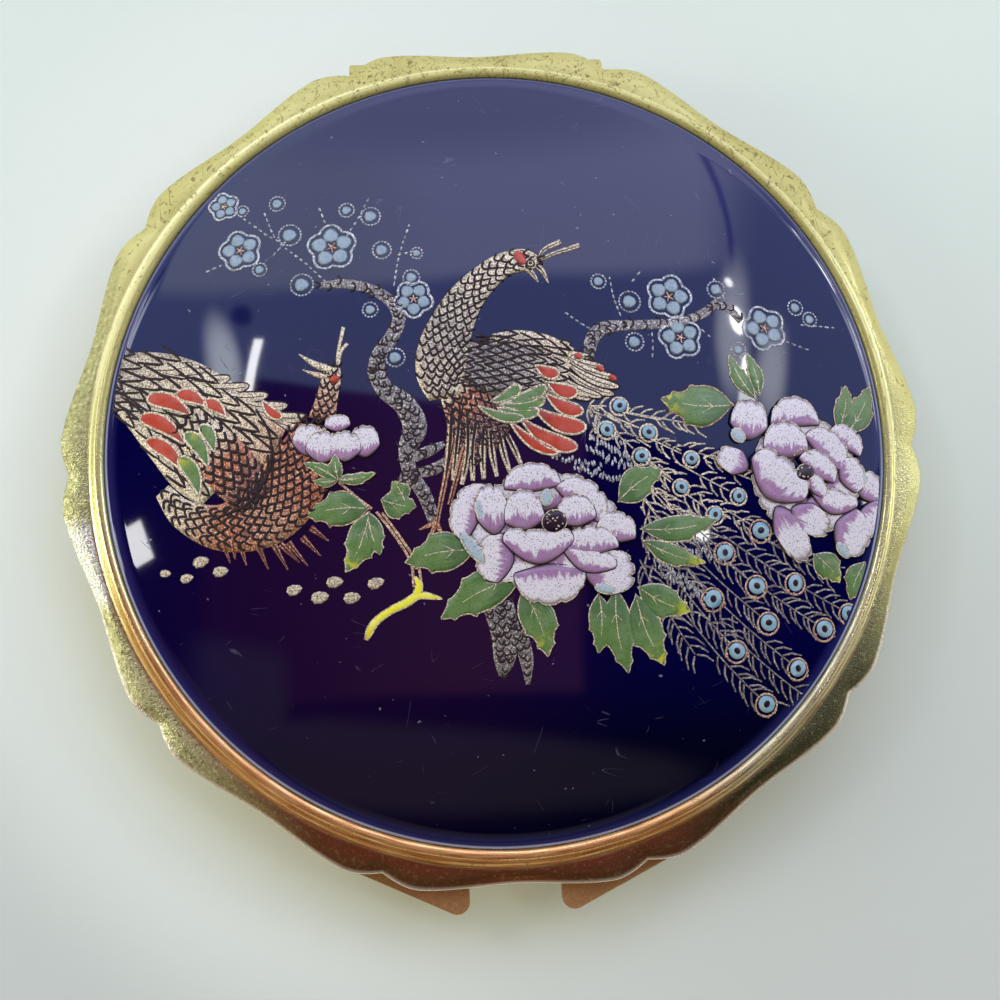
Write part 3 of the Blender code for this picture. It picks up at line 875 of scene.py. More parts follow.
def standing_bird():
    """The bird in the middle, which looks right, with its long train behind the flowers."""
    for start, end, width in (
        ((-4.6, 3.0), (-5.6, -3.8), 0.75), ((-3.9, 2.6), (-4.8, -3.4), 0.7),
        ((-3.2, 2.2), (-4.0, -3.8), 0.75), ((-2.5, 1.8), (-3.0, -3.5), 0.7),
        ((-1.8, 1.3), (-2.0, -3.4), 0.7), ((-1.2, 0.9), (-0.8, -3.2), 0.65),
        ((-0.4, 0.8), (0.4, -2.9), 0.65), ((0.3, 0.6), (1.5, -2.3), 0.6),
    ):
        plume(start, end, width, chance.uniform(0.4, 0.75))
    for leg in ([(-4.5, 0.4), (-5.6, -3.8), (-6.4, -7.2)], [(-3.6, -0.4), (-4.6, -3.6), (-5.2, -5.6)]):
        gold.draw(flow(leg, 0.4), 0.5, 0.85, 0.02, ends=(1.3, 0.8))
        umber.draw(flow(leg, 0.4), 0.12, 0.4, 0.1)
    for toe in ((-8.0, -7.7), (-7.3, -8.9), (-5.8, -9.0)):
        gold.draw(flow([(-6.4, -7.1), toe], 0.4), 0.42, 0.85, 0.02, ends=(1.0, 0.3))
    for start, end, breadth in (
        ((4.0, 9.2), (8.4, 7.6), 1.0), ((5.0, 8.7), (9.6, 6.6), 1.0), ((5.6, 8.1), (10.6, 5.6), 1.0),
        ((5.8, 7.4), (10.9, 4.7), 1.0), ((5.6, 6.8), (10.4, 4.0), 1.0), ((5.0, 6.4), (9.2, 3.8), 0.9),
        ((4.6, 5.9), (8.2, 3.6), 0.9), ((2.4, 9.6), (6.6, 8.9), 0.9),
    ):
        feather(grounds, start, end, breadth, chance.uniform(0.0, 0.04), 0.42)
    thigh = [(-4.3, 3.4, 1.8, 0.9), (-3.7, 0.8, 2.6, 1.3), (-3.0, -1.0, 2.8, 1.4), (-2.4, -2.0, 1.2, 1.4)]
    plumage(thigh, 1.0, 0.72, 0.025)
    belly = [(-4.9, 5.2, 2.0, 0.3), (-3.4, 3.6, 4.4, 1.0), (-1.8, 1.9, 4.8, 1.4), (0.2, 0.5, 3.2, 1.4)]
    plumage(belly, 1.0, 0.72, 0.03)
    shoulder = [
        (-4.2, 7.6, 2.4, 0.1), (-1.6, 7.2, 5.0, 0.05), (1.4, 6.7, 5.8, 0.1), (4.0, 6.3, 5.2, 0.25),
        (6.2, 5.9, 3.6, 0.4),
    ]
    plumage(shoulder, 1.35, 0.72, 0.06, lag=0.8, point=1.5, depth=0.8, wander=0.08)
    upper = [(-0.6, 9.5, 1.0, 0.25), (1.8, 9.6, 1.4, 0.3), (4.4, 9.0, 1.5, 0.4), (6.6, 7.9, 1.2, 0.42)]
    plumage(upper, 1.6, 0.65, 0.08, point=1.3, depth=0.8)
    neck = [
        (3.9, 16.9, 1.3, 0.42), (2.8, 17.1, 2.1, 0.42), (0.8, 16.7, 2.3, 0.38), (-1.1, 15.3, 2.7, 0.36),
        (-2.9, 13.4, 3.3, 0.28), (-4.2, 11.1, 4.0, 0.2), (-5.1, 8.8, 4.6, 0.22), (-5.5, 6.5, 4.4, 0.3),
        (-5.2, 4.2, 2.9, 0.3),
    ]
    plumage(neck, 0.84, 0.76, 0.1, wander=0.1)
    for tip in ((4.1, 4.9), (3.9, 3.7), (3.3, 2.6), (1.7, 5.0)):
        start = (-1.6 + 0.35 * tip[0], 2.9 + 0.25 * (tip[1] - 2))
        feather(leaves, start, tip, 1.25, 0.14, 0.3)
    feather(leaves, (-2.2, 3.3), (1.9, 2.0), 1.0, 0.15, 0.3)
    for start, end, breadth in (
        ((3.2, 6.9), (5.3, 6.0), 1.3), ((4.2, 5.3), (6.9, 4.2), 1.5), ((4.0, 4.2), (7.3, 2.4), 1.5),
        ((2.8, 3.0), (7.5, 0.9), 1.8), ((1.6, 2.0), (6.6, -0.9), 1.7), ((0.6, 1.8), (4.8, -1.3), 1.1),
    ):
        feather(scarlet, start, end, breadth, 0.12, 0.42)
    for x, y in ((7.2, 7.7), (9.2, 6.5), (10.3, 5.6)):
        blot(scarlet, x, y, 0.8, 0.6, -0.6, 0.06, edge=0.0)
    blot(scarlet, 2.4, 17.3, 1.5, 1.0, -1.0, 0.14, edge=0.0)
    umber.ring(3.35, 16.75, 0.36, 0.13, 0.35, 0.14, count=12)
    gold.ring(3.35, 16.75, 0.22, 0.13, 0.4, 0.15, count=12)
    for line in ([(3.6, 16.9), (4.4, 16.0), (4.9, 14.8)], [(3.0, 16.3), (3.5, 15.7), (3.95, 14.9)]):
        gold.draw(flow(line, 0.3), 0.5, 0.36, 0.05, ends=(1.3, 0.25))
        umber.draw(flow(line, 0.3)[1:-1], 0.1, 0.36, 0.13, ends=(0.8, 0.25))
    gold.draw(flow([(1.6, 18.0), (2.8, 18.1), (3.7, 17.5), (3.9, 16.8)], 0.3), 0.16, 0.4, 0.13)
    for tips in ([(4.1, 17.1), (4.7, 18.1), (6.3, 18.9)], [(4.1, 17.0), (5.6, 17.7), (8.1, 18.5)]):
        gold.draw(flow(tips, 0.4), 0.46, 0.36, 0.02, ends=(0.6, 1.2))
        umber.draw(flow(tips, 0.4), 0.12, 0.36, 0.08, ends=(0.6, 0.9))


def dashes(line, pitch, length, width, tint):
    """A broken line of short dabs."""
    line = flow(line, pitch)
    for (x, y), turn in zip(line[:, :2], headings(line)):
        scales.dab(x, y, length * chance.uniform(0.8, 1.2), width * chance.uniform(0.8, 1.2), turn, tint)


EYES = (
    (10.8, 3.0), (9.5, 0.8), (13.4, 0.5), (12.6, -1.7), (17.3, -2.0), (16.2, -4.6), (21.7, -5.5),
    (19.3, -7.2), (23.7, -8.7), (20.1, -10.7), (23.1, -13.8), (27.0, -13.6), (18.8, -14.9),
    (24.2, -17.2), (29.9, -17.9), (32.5, -16.5), (21.0, -19.7), (27.1, -21.5), (23.9, -24.7),
)
BARBS_MORE = (
    (14.6, 1.6), (17.6, 1.2), (20.4, -2.4), (24.6, -4.6), (30.0, -12.6), (14.2, -15.9), (16.9, -19.9),
    (27.9, -24.2), (15.6, -9.6), (26.6, -10.8),
)


def long_train():
    """Curved feathers that fan out from the back, each with slanting barbs and an eye at its end."""
    root = np.array((7.9, 3.0))
    taken = []
    feathers = []
    for x, y in (*EYES, *BARBS_MORE):
        end = np.array((x, y))
        way = end - root
        steep = min(1.0, max(0.0, -way[1] / 28))
        bend = root + way * (0.5 - 0.27 * steep, 0.5 + 0.12 * steep)
        t = np.linspace(0, 1, 60)[:, None]
        line = (1 - t) ** 2 * root + 2 * t * (1 - t) * bend + t * t * end
        feathers.append(flow(line[::6].tolist() + [end.tolist()], 0.52)[::-1])
    for first, last in ((0, 10), (10, 90)):
        for line in feathers:
            turns = headings(line) + math.pi
            for i in range(first, min(last, len(line))):
                spot = line[i]
                tint = float(np.interp(spot[1], (-10, -6), (0.06, 0.34)))
                if first and spot[0] < 12.4 and spot[1] < 0.4:
                    continue
                clear = all(math.hypot(*(spot - eye)) > 1.0 for eye in EYES)
                crowd = [p for p in taken if abs(p[0] - spot[0]) < 0.9 and abs(p[1] - spot[1]) < 0.9]
                if clear and i + 1 < len(line) and all(math.hypot(*(spot - p)) > 0.4 for p in crowd):
                    gold.draw([spot, line[i + 1]], 0.15, tint)
                near_root = first and math.hypot(*(spot - root)) < 9
                for side in (-1, 1):
                    long = chance.uniform(1.5, 2.1) * (0.85 + 0.3 * min(1, -min(0, spot[1]) / 15))
                    long *= 0.7 if near_root else 1.0
                    lean = turns[i] + side * 0.82
                    middle = spot + toward(lean, long * 0.55)
                    tip = spot + toward(lean + side * -0.2, long)
                    near = [p for p in taken if abs(p[0] - middle[0]) < 1 and abs(p[1] - middle[1]) < 1]
                    if any(math.hypot(*(middle - p)) < (0.74 if near_root else 0.58) for p in near):
                        continue
                    if any(math.hypot(*(middle - eye)) < 1.25 for eye in EYES):
                        continue
                    taken.append(middle)
                    shade = tint + chance.uniform(-0.1, 0.1)
                    gold.draw([spot + toward(lean, 0.18), middle, tip], 0.2, shade, ends=(0.9, 0.7))
    for x, y in EYES:
        size = chance.uniform(0.92, 1.02) * (0.74 if y > -8 else 0.95)
        blot(eyes, x, y, size * 1.75, size * 1.65, chance.uniform(0, 3), 0.03, edge=0.0)
        blot(hearts, x, y, size * 0.72, size * 0.62, chance.uniform(0, 3), 0.1, puff=0.02, edge=0.0)
        gold.ring(x - 0.06, y - 0.1, size * 1.12, 0.2, 0.5 if y > -8 else 0.75, 0.01, count=18)
        for _ in range(9):
            angle = math.radians(chance.uniform(185, 350))
            spot = np.array((x, y)) + toward(angle, size * chance.uniform(1.05, 1.35))
            scales.dab(*spot, 0.2, 0.16, angle, 0.55 if y > -8 else 0.75)


def resting_bird():
    """The bird on the left, seen from behind, with its wing raised to the edge of the picture."""
    for start, end in (
        ((-25.9, -7.6), (-25.3, -9.7)), ((-24.3, -8.0), (-23.8, -10.0)), ((-22.7, -8.2), (-21.8, -10.5)),
        ((-21.2, -8.3), (-20.0, -10.7)), ((-19.9, -8.2), (-18.2, -10.4)), ((-18.6, -7.8), (-17.0, -9.6)),
        ((-17.8, -7.0), (-16.2, -8.3)), ((-25.0, -7.8), (-24.8, -9.4)), ((-20.6, -8.3), (-18.9, -10.1)),
    ):
        gold.draw([start, end], 0.55, 1.2, ends=(1.2, 0.2))
        umber.draw([start, end], 0.14, 0.9, 0.07, ends=(1.2, 0.2))
    for k in range(9):
        start = np.array((-33.4, 9.4)) + (1.75 * k, -0.55 * k - 0.045 * k * k)
        feather(grounds, start, start + (5.2, -0.4 - 0.16 * k), 1.25, 0.0, 0.36)
    wing = [
        (-37.0, 8.2, 4.2, 0.2), (-33.8, 7.8, 6.2, 0.25), (-30.2, 6.4, 7.2, 0.34), (-26.6, 4.2, 7.0, 0.42),
        (-23.4, 2.2, 5.6, 0.6), (-20.6, 0.6, 4.0, 0.75),
    ]
    plumage(wing, 2.7, 1.15, 0.02, lag=0.9, point=1.6, depth=0.9, wander=0.12, pen=0.3)
    lower = [
        (-35.2, 6.6, 2.2, 0.25), (-32.8, 3.8, 3.0, 0.34), (-30.8, 1.2, 3.4, 0.4), (-28.9, -1.4, 3.4, 0.45),
        (-27.0, -3.6, 2.2, 0.5),
    ]
    plumage(lower, 2.4, 1.1, 0.04, point=1.6, depth=0.9, wander=0.12, pen=0.3)
    body = [
        (-17.6, 2.4, 2.4, 1.0), (-18.2, 0.0, 4.6, 1.1), (-19.4, -2.8, 6.4, 1.0), (-22.0, -5.4, 6.2, 0.8),
        (-25.8, -6.4, 4.4, 0.95), (-29.4, -5.0, 2.8, 0.55), (-31.4, -2.6, 1.6, 0.35),
    ]
    plumage(body, 0.95, 0.82, 0.06, lag=0.8, pen=0.3)
    inner = [
        (-29.0, 3.4, 3.2, 0.45), (-26.6, 1.0, 4.4, 0.6), (-24.6, -1.6, 4.8, 1.2), (-22.6, -4.4, 3.6, 1.3),
    ]
    plumage(inner, 1.05, 0.95, 0.09, pen=0.36)
    fold = [(-22.4, 4.2), (-21.2, 1.6), (-21.4, -1.6), (-23.4, -4.4), (-26.6, -5.6)]
    umber.draw(flow(fold, 0.4), 0.24, 0.5, 0.13)
    for start, end, breadth in (
        ((-28.4, 4.1), (-32.6, 6.3), 1.7), ((-29.1, 1.5), (-33.3, 4.6), 1.7),
        ((-29.2, -1.1), (-32.7, 2.3), 1.6), ((-26.9, 4.9), (-29.8, 6.4), 1.4),
        ((-25.2, 3.8), (-27.2, 5.4), 1.3), ((-21.8, 5.0), (-20.1, 3.2), 1.0),
    ):
        feather(scarlet, start, end, breadth, 0.12, 0.42)
    for start, end, breadth in (
        ((-26.4, 0.6), (-27.5, 3.2), 1.4), ((-27.0, -0.8), (-29.0, 2.6), 1.6),
        ((-27.9, -3.4), (-29.6, 0.4), 1.7),
    ):
        feather(leaves, start, end, breadth, 0.14, 0.45)
    throat = [
        (-15.2, 7.6, 1.3, 0.55), (-15.4, 6.6, 1.8, 0.6), (-15.8, 5.0, 1.9, 0.75), (-16.4, 2.8, 2.5, 0.85),
    ]
    plumage(throat, 0.75, 0.68, 0.03)
    gold.draw(flow([(-15.4, 7.4), (-16.8, 8.0), (-18.3, 9.1)], 0.3), 0.6, 0.45, 0.02, ends=(1.4, 0.15))
    gold.draw(flow([(-15.8, 6.8), (-16.9, 7.1), (-18.0, 7.6)], 0.3), 0.45, 0.6, 0.02, ends=(1.4, 0.15))
    blot(scarlet, -15.1, 6.5, 0.9, 0.8, 0.4, 0.07, edge=0.0)
    umber.ring(-15.6, 7.1, 0.36, 0.14, 0.6, 0.08, count=12)
    gold.ring(-15.6, 7.1, 0.22, 0.12, 0.6, 0.09, count=12)
    for side, end in ((0, (-14.1, 11.4)), (0.25, (-13.8, 9.8))):
        gold.draw(flow([(-14.9 + side / 2, 7.3), (-14.7 + side, 9.0), end], 0.4), 0.3, 0.4, ends=(0.7, 1.2))


PEONY = (
    # base, tip, breadth, bend, from the lowest petal to the highest
    ((-2.4, -6.7), (-5.0, -5.6), 5.0, -0.5), ((3.6, -11.3), (3.7, -15.0), 6.0, -0.6),
    ((0.4, -10.8), (-3.0, -10.3), 4.0, 0.0), ((6.9, -12.4), (11.4, -12.1), 3.7, 0.2),
    ((2.4, -4.7), (2.3, -2.1), 4.7, -0.5), ((6.2, -6.5), (8.1, -4.2), 4.8, -0.6),
    ((9.6, -9.5), (10.2, -6.8), 3.4, -0.3), ((-1.2, -8.5), (-1.6, -3.9), 2.7, 0.0),
    ((6.7, -12.1), (7.6, -9.9), 4.8, 0.5), ((7.5, -10.6), (7.4, -8.0), 4.6, -0.4),
    ((1.6, -8.2), (1.3, -4.5), 3.3, -0.4), ((6.3, -8.0), (6.1, -5.1), 3.3, -0.4),
    ((2.6, -11.3), (2.7, -8.2), 5.9, 1.0),
)
SIDE_PEONY = (
    ((34.2, -5.6), (36.2, -3.6), 2.8, 0.0), ((34.1, -6.8), (36.3, -8.4), 3.6, 0.0),
    ((31.3, -8.1), (34.8, -9.9), 4.2, 0.0), ((22.7, -3.0), (19.8, -1.5), 2.2, 0.0),
    ((22.8, -0.3), (23.4, 3.5), 3.3, 0.0), ((25.3, -6.5), (28.1, -11.6), 2.7, 0.0),
    ((26.8, -6.7), (30.6, -8.7), 2.6, 0.2), ((32.5, -0.8), (33.8, 0.9), 3.5, -0.4),
    ((27.7, 1.0), (27.7, 3.9), 4.5, -0.8), ((30.1, -1.9), (32.1, 0.3), 4.6, -0.6),
    ((32.0, -4.0), (34.6, -2.9), 3.1, 0.0), ((30.8, -7.2), (31.5, -4.9), 4.6, 0.7),
    ((26.5, -2.0), (26.7, 1.5), 4.1, -0.4), ((29.3, -3.6), (30.6, -1.6), 3.8, -0.3),
    ((28.9, -5.1), (30.2, -4.1), 2.2, 0.0), ((24.3, -5.7), (26.9, -2.3), 5.8, 0.6),
)
BUD_PETALS = (
    ((-18.0, -0.4), (-17.4, 2.4), 2.6, 0.0), ((-12.6, -0.9), (-12.6, 2.0), 2.4, 0.0),
    ((-15.0, 1.6), (-15.0, 3.1), 2.1, 0.0), ((-16.6, -1.2), (-16.2, 1.7), 2.8, 0.0),
    ((-14.5, -1.2), (-14.3, 1.6), 2.6, 0.0),
)
BLUE_BITS = (
    (-2.5, -6.2, 1.8, 0.8, 1.7), (-3.3, -9.6, 3.4, 1.1, -0.95), (3.6, -5.3, 1.5, 1.1, 1.4),
    (8.6, -13.7, 1.9, 0.9, -0.2), (21.9, 0.1, 1.5, 1.2, -0.8), (32.0, -10.6, 1.8, 1.0, -0.8),
    (34.5, -3.9, 1.4, 0.8, 1.3),
)
# base, tip, breadth
LEAVES = (
    ((21.8, 3.0), (14.7, 3.6), 4.0), ((32.2, 0.6), (33.4, 5.2), 2.2), ((33.0, 0.4), (36.0, 5.2), 2.6),
    ((10.1, -5.9), (14.4, -3.0), 3.0), ((12.0, -8.4), (19.6, -7.6), 2.4), ((12.2, -9.4), (18.2, -11.6), 1.9),
    ((-3.0, -9.8), (-9.4, -10.6), 3.6), ((1.2, -12.2), (-6.4, -15.8), 3.6), ((1.0, -13.4), (3.2, -19.6), 3.2),
    ((8.0, -14.0), (7.8, -19.5), 2.4), ((9.6, -13.6), (10.6, -21.4), 3.0), ((11.4, -14.2), (14.0, -20.8), 3.2),
    ((11.6, -13.6), (16.6, -16.0), 3.0), ((28.9, -10.9), (31.6, -13.6), 2.6), ((34.4, -11.6), (32.6, -15.2), 2.4),
    ((-12.4, -5.6), (-18.1, -5.9), 3.2), ((-12.4, -5.8), (-14.8, -11.2), 2.8), ((-12.6, -5.8), (-11.6, -9.8), 2.2),
    ((-11.4, -4.8), (-8.2, -5.6), 2.6), ((-9.2, -5.2), (-10.2, -3.2), 1.8),
    ((23.9, 3.6), (21.6, 7.8), 1.6), ((24.3, 3.8), (23.4, 8.0), 1.4),
)
SEPALS = ((-18.2, -1.1, 1.1), (-11.7, -2.4, 1.0), (-15.3, -0.5, 1.2), (-17.4, -2.8, 0.9), (-13.4, -2.9, 0.8))


def flowers():
    for petal_rows, centre, reach in (
        (PEONY, (3.4, -8.4), (6.9, 5.4)), (SIDE_PEONY, (28.6, -3.6), (5.6, 5.6)), (BUD_PETALS, (0, 0), 0),
    ):
        under = []
        for angle in np.radians(np.arange(10, 370, 40)) if reach else ():
            way = toward(angle) * reach
            under.append((centre + way * 0.35, centre + way, 5.0, 0.0))
        for layer, (base, tip, breadth, bend) in enumerate((*under, *petal_rows)):
            petal(base, tip, breadth, (0.08 if reach else 0.16) + 0.013 * layer, bend)
    for x, y, length, width, turn in BLUE_BITS:
        blot(bits, x, y, length, width, turn, 0.3)
    for base, tip, breadth in LEAVES:
        leaf(base, tip, breadth, 0.05 + chance.uniform(0, 0.02))
    for x, y, breadth in SEPALS:
        leaf((-15.1, -2.9), (x, y), breadth, 0.22)
    for x, y, radius, count in ((4.2, -7.5, 1.15, 16), (28.4, -3.4, 0.95, 9)):
        blot(hearts, x, y, radius * 2, radius * 1.8, 0.3, 0.37, puff=0.12, edge=0.1)
        for k in range(count):
            way = chance.uniform(0, 6.28)
            spot = np.array((x, y)) + toward(way, radius * math.sqrt(chance.random()) * 0.9)
            scales.dab(*spot, 0.2, 0.17, 0, 0.35, 0.5)
    for k in range(9):
        spot = np.array((28.2, -2.2)) + toward(math.radians(40 + 14 * k), 1.0)
        scales.dab(*spot, 0.22, 0.2, 0, 0.3, 0.46)
    for line in (
        [(-15.1, -3.0), (-13.4, -4.6), (-12.2, -5.6)],
        [(-11.8, -5.9), (-10.2, -8.2), (-8.9, -10.6), (-8.7, -12.8)],
        [(-11.3, -6.0), (-9.7, -8.4), (-8.3, -10.8), (-8.0, -12.8)],
    ):
        gold.draw(flow(line, 0.4), 0.26, 0.75, 0.03)
    stub = [
        (-13.2, -17.3, 0.8), (-12.4, -15.9, 0.65), (-11.0, -14.9, 0.6), (-9.4, -14.2, 0.7), (-8.2, -13.6, 0.6),
        (-6.2, -14.0, 0.35),
    ]
    twig_line(stub, 0.06)
    twig_line([(-8.7, -13.8, 0.8), (-8.2, -12.8, 0.6), (-8.6, -11.9, 0.4)], 0.07)


def twig_line(stations, lift):
    """A ribbon of yellow enamel with a gold edge, through stations of (x, y, width)."""
    line, grid = ribbon(stations)
    taper = np.interp(np.linspace(0, 1, len(line)), (0, 0.12, 0.88, 1), (0.4, 1, 1, 0.3))
    middle = grid[:, 2:3]
    grid = middle + (grid - middle) * taper[:, None, None]
    yellow.fill(grid, lift, 0.06, chance.uniform(0, 50))
    gold.draw(outline(grid), 0.13, 0.45, lift, closed=True)


BLOSSOMS = (
    (-23.5, 19.8, 1.95), (-14.9, 19.3, 2.2), (-7.6, 13.7, 1.75), (16.2, 13.4, 2.1), (17.0, 9.4, 2.0),
    (25.4, 10.5, 2.1), (-25.0, 24.6, 1.4),
)
BUDS = (
    (-19.9, 24.3, 0.75), (-18.8, 20.9, 1.05), (-17.8, 15.8, 1.05), (-13.4, 23.0, 0.7), (-11.2, 22.2, 0.9),
    (-10.3, 18.7, 0.85), (-11.6, 12.9, 0.7), (-9.5, 8.2, 0.85), (-23.2, 23.9, 0.55), (-21.7, 17.7, 0.65),
    (9.6, 14.9, 0.7), (12.4, 12.9, 1.0), (12.6, 9.0, 0.85), (20.9, 14.2, 0.85), (28.8, 12.7, 0.75),
    (30.2, 11.6, 0.7), (-7.7, 15.8, 0.75), (-7.1, 18.2, 0.55), (22.6, 8.3, 0.7),
)
TWIGS = (
    ((-15.3, 15.6), (-17.5, 18.0), (-20.0, 20.5), (-21.1, 23.3)), ((-20.0, 20.5), (-20.9, 21.1), (-24.0, 23.9)),
    ((-18.9, 20.6), (-20.3, 19.1)), ((-26.6, 18.1), (-24.8, 18.7)), ((-15.9, 23.3), (-15.5, 22.0)),
    ((-13.4, 20.5), (-12.4, 22.0), (-11.4, 23.9)), ((-7.7, 21.0), (-8.7, 18.1), (-9.3, 15.3)),
    ((8.8, 10.1), (7.7, 10.8), (6.4, 11.8)), ((11.4, 11.7), (10.9, 13.4), (10.7, 15.2)),
    ((12.9, 15.0), (13.5, 15.7)), ((14.3, 10.4), (14.3, 8.7), (14.2, 7.7)), ((18.7, 10.6), (19.8, 9.6)),
    ((29.4, 11.0), (32.6, 10.9)), ((27.0, 9.4), (29.6, 8.6)), ((-8.7, 18.1), (-7.4, 18.4)),
    ((21.6, 13.4), (20.8, 15.2)),
)
# x, y, width of the crackled bark
BRANCHES = (
    ((-16.2, 15.6, 0.6), (-13.9, 15.6, 0.9), (-11.5, 14.9, 1.0), (-9.7, 13.6, 1.1), (-9.0, 11.9, 1.2),
     (-9.8, 10.1, 1.3), (-11.0, 8.5, 1.4), (-11.3, 7.0, 1.6)),
    ((8.2, 7.4, 0.9), (8.6, 9.3, 1.3), (9.8, 10.4, 1.2), (12.0, 10.6, 1.0), (14.4, 10.7, 0.9),
     (16.8, 10.9, 0.9), (19.2, 11.7, 0.9), (21.0, 13.0, 0.8)),
    ((20.6, 12.6, 0.7), (21.9, 12.4, 0.8), (23.1, 11.1, 0.7)),
    ((-11.4, 7.2, 1.5), (-10.6, 5.3, 1.7), (-8.8, 3.7, 2.0), (-8.0, 1.6, 2.2), (-8.8, -0.4, 1.6),
     (-8.6, -2.5, 1.3), (-7.4, -4.6, 1.3), (-6.6, -7.2, 1.0)),
    ((-8.4, -1.2, 0.9), (-6.8, -0.6, 1.0), (-5.4, 0.0, 0.5)),
    ((-7.8, -2.6, 0.9), (-6.2, -2.2, 1.1), (-4.8, -1.2, 0.5)),
    ((-8.8, -2.6, 1.3), (-9.6, -4.4, 1.1), (-10.2, -5.6, 0.4)),
    ((-1.2, -14.6, 2.8), (-0.6, -17.4, 2.6), (-0.8, -19.8, 1.9), (-1.1, -21.2, 0.5)),
    ((0.6, -16.8, 1.2), (1.2, -19.6, 1.3), (1.3, -22.0, 0.4)),
)
STONES = (
    (-31.4, -10.2, 1.1), (-29.4, -10.8, 1.3), (-28.0, -9.4, 1.6), (-26.2, -10.4, 1.5), (-19.5, -12.5, 1.5),
    (-17.2, -13.3, 1.7), (-15.8, -12.0, 1.6), (-14.3, -13.5, 1.6), (-12.1, -12.3, 1.6),
)
# Ends of the runs of short pale ticks beside the train
TICKS = (
    ((8.6, 1.2), (11.2, -0.6), 0.42), ((8.0, 0.0), (11.4, -1.7), 0.5), ((7.6, -1.1), (11.8, -2.9), 0.5),
    ((4.4, -1.4), (8.8, -2.6), 0.36), ((6.4, -2.8), (12.4, -4.3), 0.44), ((13.2, -10.6), (18.6, -15.2), 0.34),
    ((14.0, -9.9), (20.0, -11.2), 0.5), ((13.8, -12.2), (17.4, -14.6), 0.4),
)


def branches_and_blossoms():
    for x, y, radius in BLOSSOMS:
        turn = chance.uniform(0, 1.2)
        for k in range(5):
            angle = turn + k * math.tau / 5
            spot = np.array((x, y)) + toward(angle, radius * 0.56)
            sky_dabs.dab(*spot, radius * 0.68, radius * 0.68, angle, 0.5, 0.01, 0.1)
            spot = np.array((x, y)) + toward(angle + 0.63, radius * 0.24)
            gold.draw([(x, y), spot], 0.15, 0.8, 0.05, ends=(1.2, 0.7))
        gold.ring(x, y, radius * 1.04, 0.25, -0.4, 0.02, lobes=5, turn=turn, count=40)
        scales.dab(x, y, 0.3, 0.3, 0, 0.7, 0.05)
    for x, y, radius in BUDS:
        sky_dabs.dab(x, y, radius * 1.3, radius * 1.25, 0, 0.5, 0.0, 0.1)
        beads = round(radius * 20)
        for k in range(beads):
            spot = np.array((x, y)) + toward(math.tau * k / beads, radius)
            scales.dab(*spot, 0.3, 0.2, math.tau * (k / beads + 0.25), -0.35)
    for twig in TWIGS:
        dashes(twig, 0.62, 0.46, 0.2, -0.3)
    for stations in BRANCHES:
        bark = [(*station, -0.08) for station in stations]
        plumage(bark, 0.75, 0.66, 0.0, lag=0.0, point=2.6, depth=0.5, wander=0.3, pen=0.2)
    for x, y, length in STONES:
        scales.dab(x, y, length, length * 0.66, chance.uniform(-0.3, 0.3), 0.32, 0.0, 0.03)
    for start, end, height in TICKS:
        run = flow([start, end], 0.3)
        for x, y in run:
            lean = math.radians(chance.uniform(70, 110))
            spot = np.array((x, y)) + (chance.uniform(-0.08, 0.08), chance.uniform(-0.3, 0.3))
            ticks.dab(*spot, height * chance.uniform(1.2, 2.0), 0.27, lean, -0.3, 0.0, 0.07)


# Finishes


def open_material(name):
    material = bpy.data.materials.new(name)
    material.use_nodes = True
    tree = material.node_tree
    tree.nodes.clear()
    shader = add(tree, "ShaderNodeBsdfPrincipled")
    out = add(tree, "ShaderNodeOutputMaterial")
    tree.links.new(shader.outputs[0], out.inputs["Surface"])
    return material, tree, shader


def mix(tree, share, first, second):
    """Blends two colours."""
    node = tree.nodes.new("ShaderNodeMix")
    node.data_type = "RGBA"
    for slot, value in (("Factor_Float", share), ("A_Color", first), ("B_Color", second)):
        feed(next(s for s in node.inputs if s.identifier == slot), value)
    return Term(next(s for s in node.outputs if s.identifier == "Result_Color"))


def coats(tree, colour, *layers):
    """Lays coats of (share, colour) over a colour, one after the other."""
    for share, coat in layers:
        colour = mix(tree, share, colour, coat if len(coat) == 4 else paint(*coat))
    return colour


def here(tree):
    """Object coordinates, in metres."""
    return add(tree, "ShaderNodeTexCoord").outputs["Object"]


def noise(tree, vector, scale, detail):
    node = add(tree, "ShaderNodeTexNoise", {"Vector": vector, "Scale": scale, "Detail": detail})
    return Term(node.outputs["Fac"])


def bump(tree, height, distance, strength):
    sizes = {"Height": height, "Distance": distance, "Strength": strength}
    return add(tree, "ShaderNodeBump", sizes).outputs[0]


def speck_group():
    """Small marks scattered over a surface, more of them where Crowding is high."""
    sizes = {"Scale": 1000.0, "Crowding": 0.3, "Softness": 0.05, "Shift": 0.0}
    tree, given, out = open_group("Specks", "ShaderNodeTree", sizes, {"Mask": 0.0})
    moved = add(tree, "ShaderNodeVectorMath", {0: here(tree), 1: given["Shift"]}, operation="ADD")
    value = noise(tree, moved.outputs[0], given["Scale"], 1.0)
    low = (given["Crowding"] * 0.5).inverse() * 0.95
    tree.links.new(value.between(low, low + given["Softness"]).socket, out.inputs["Mask"])
    return tree


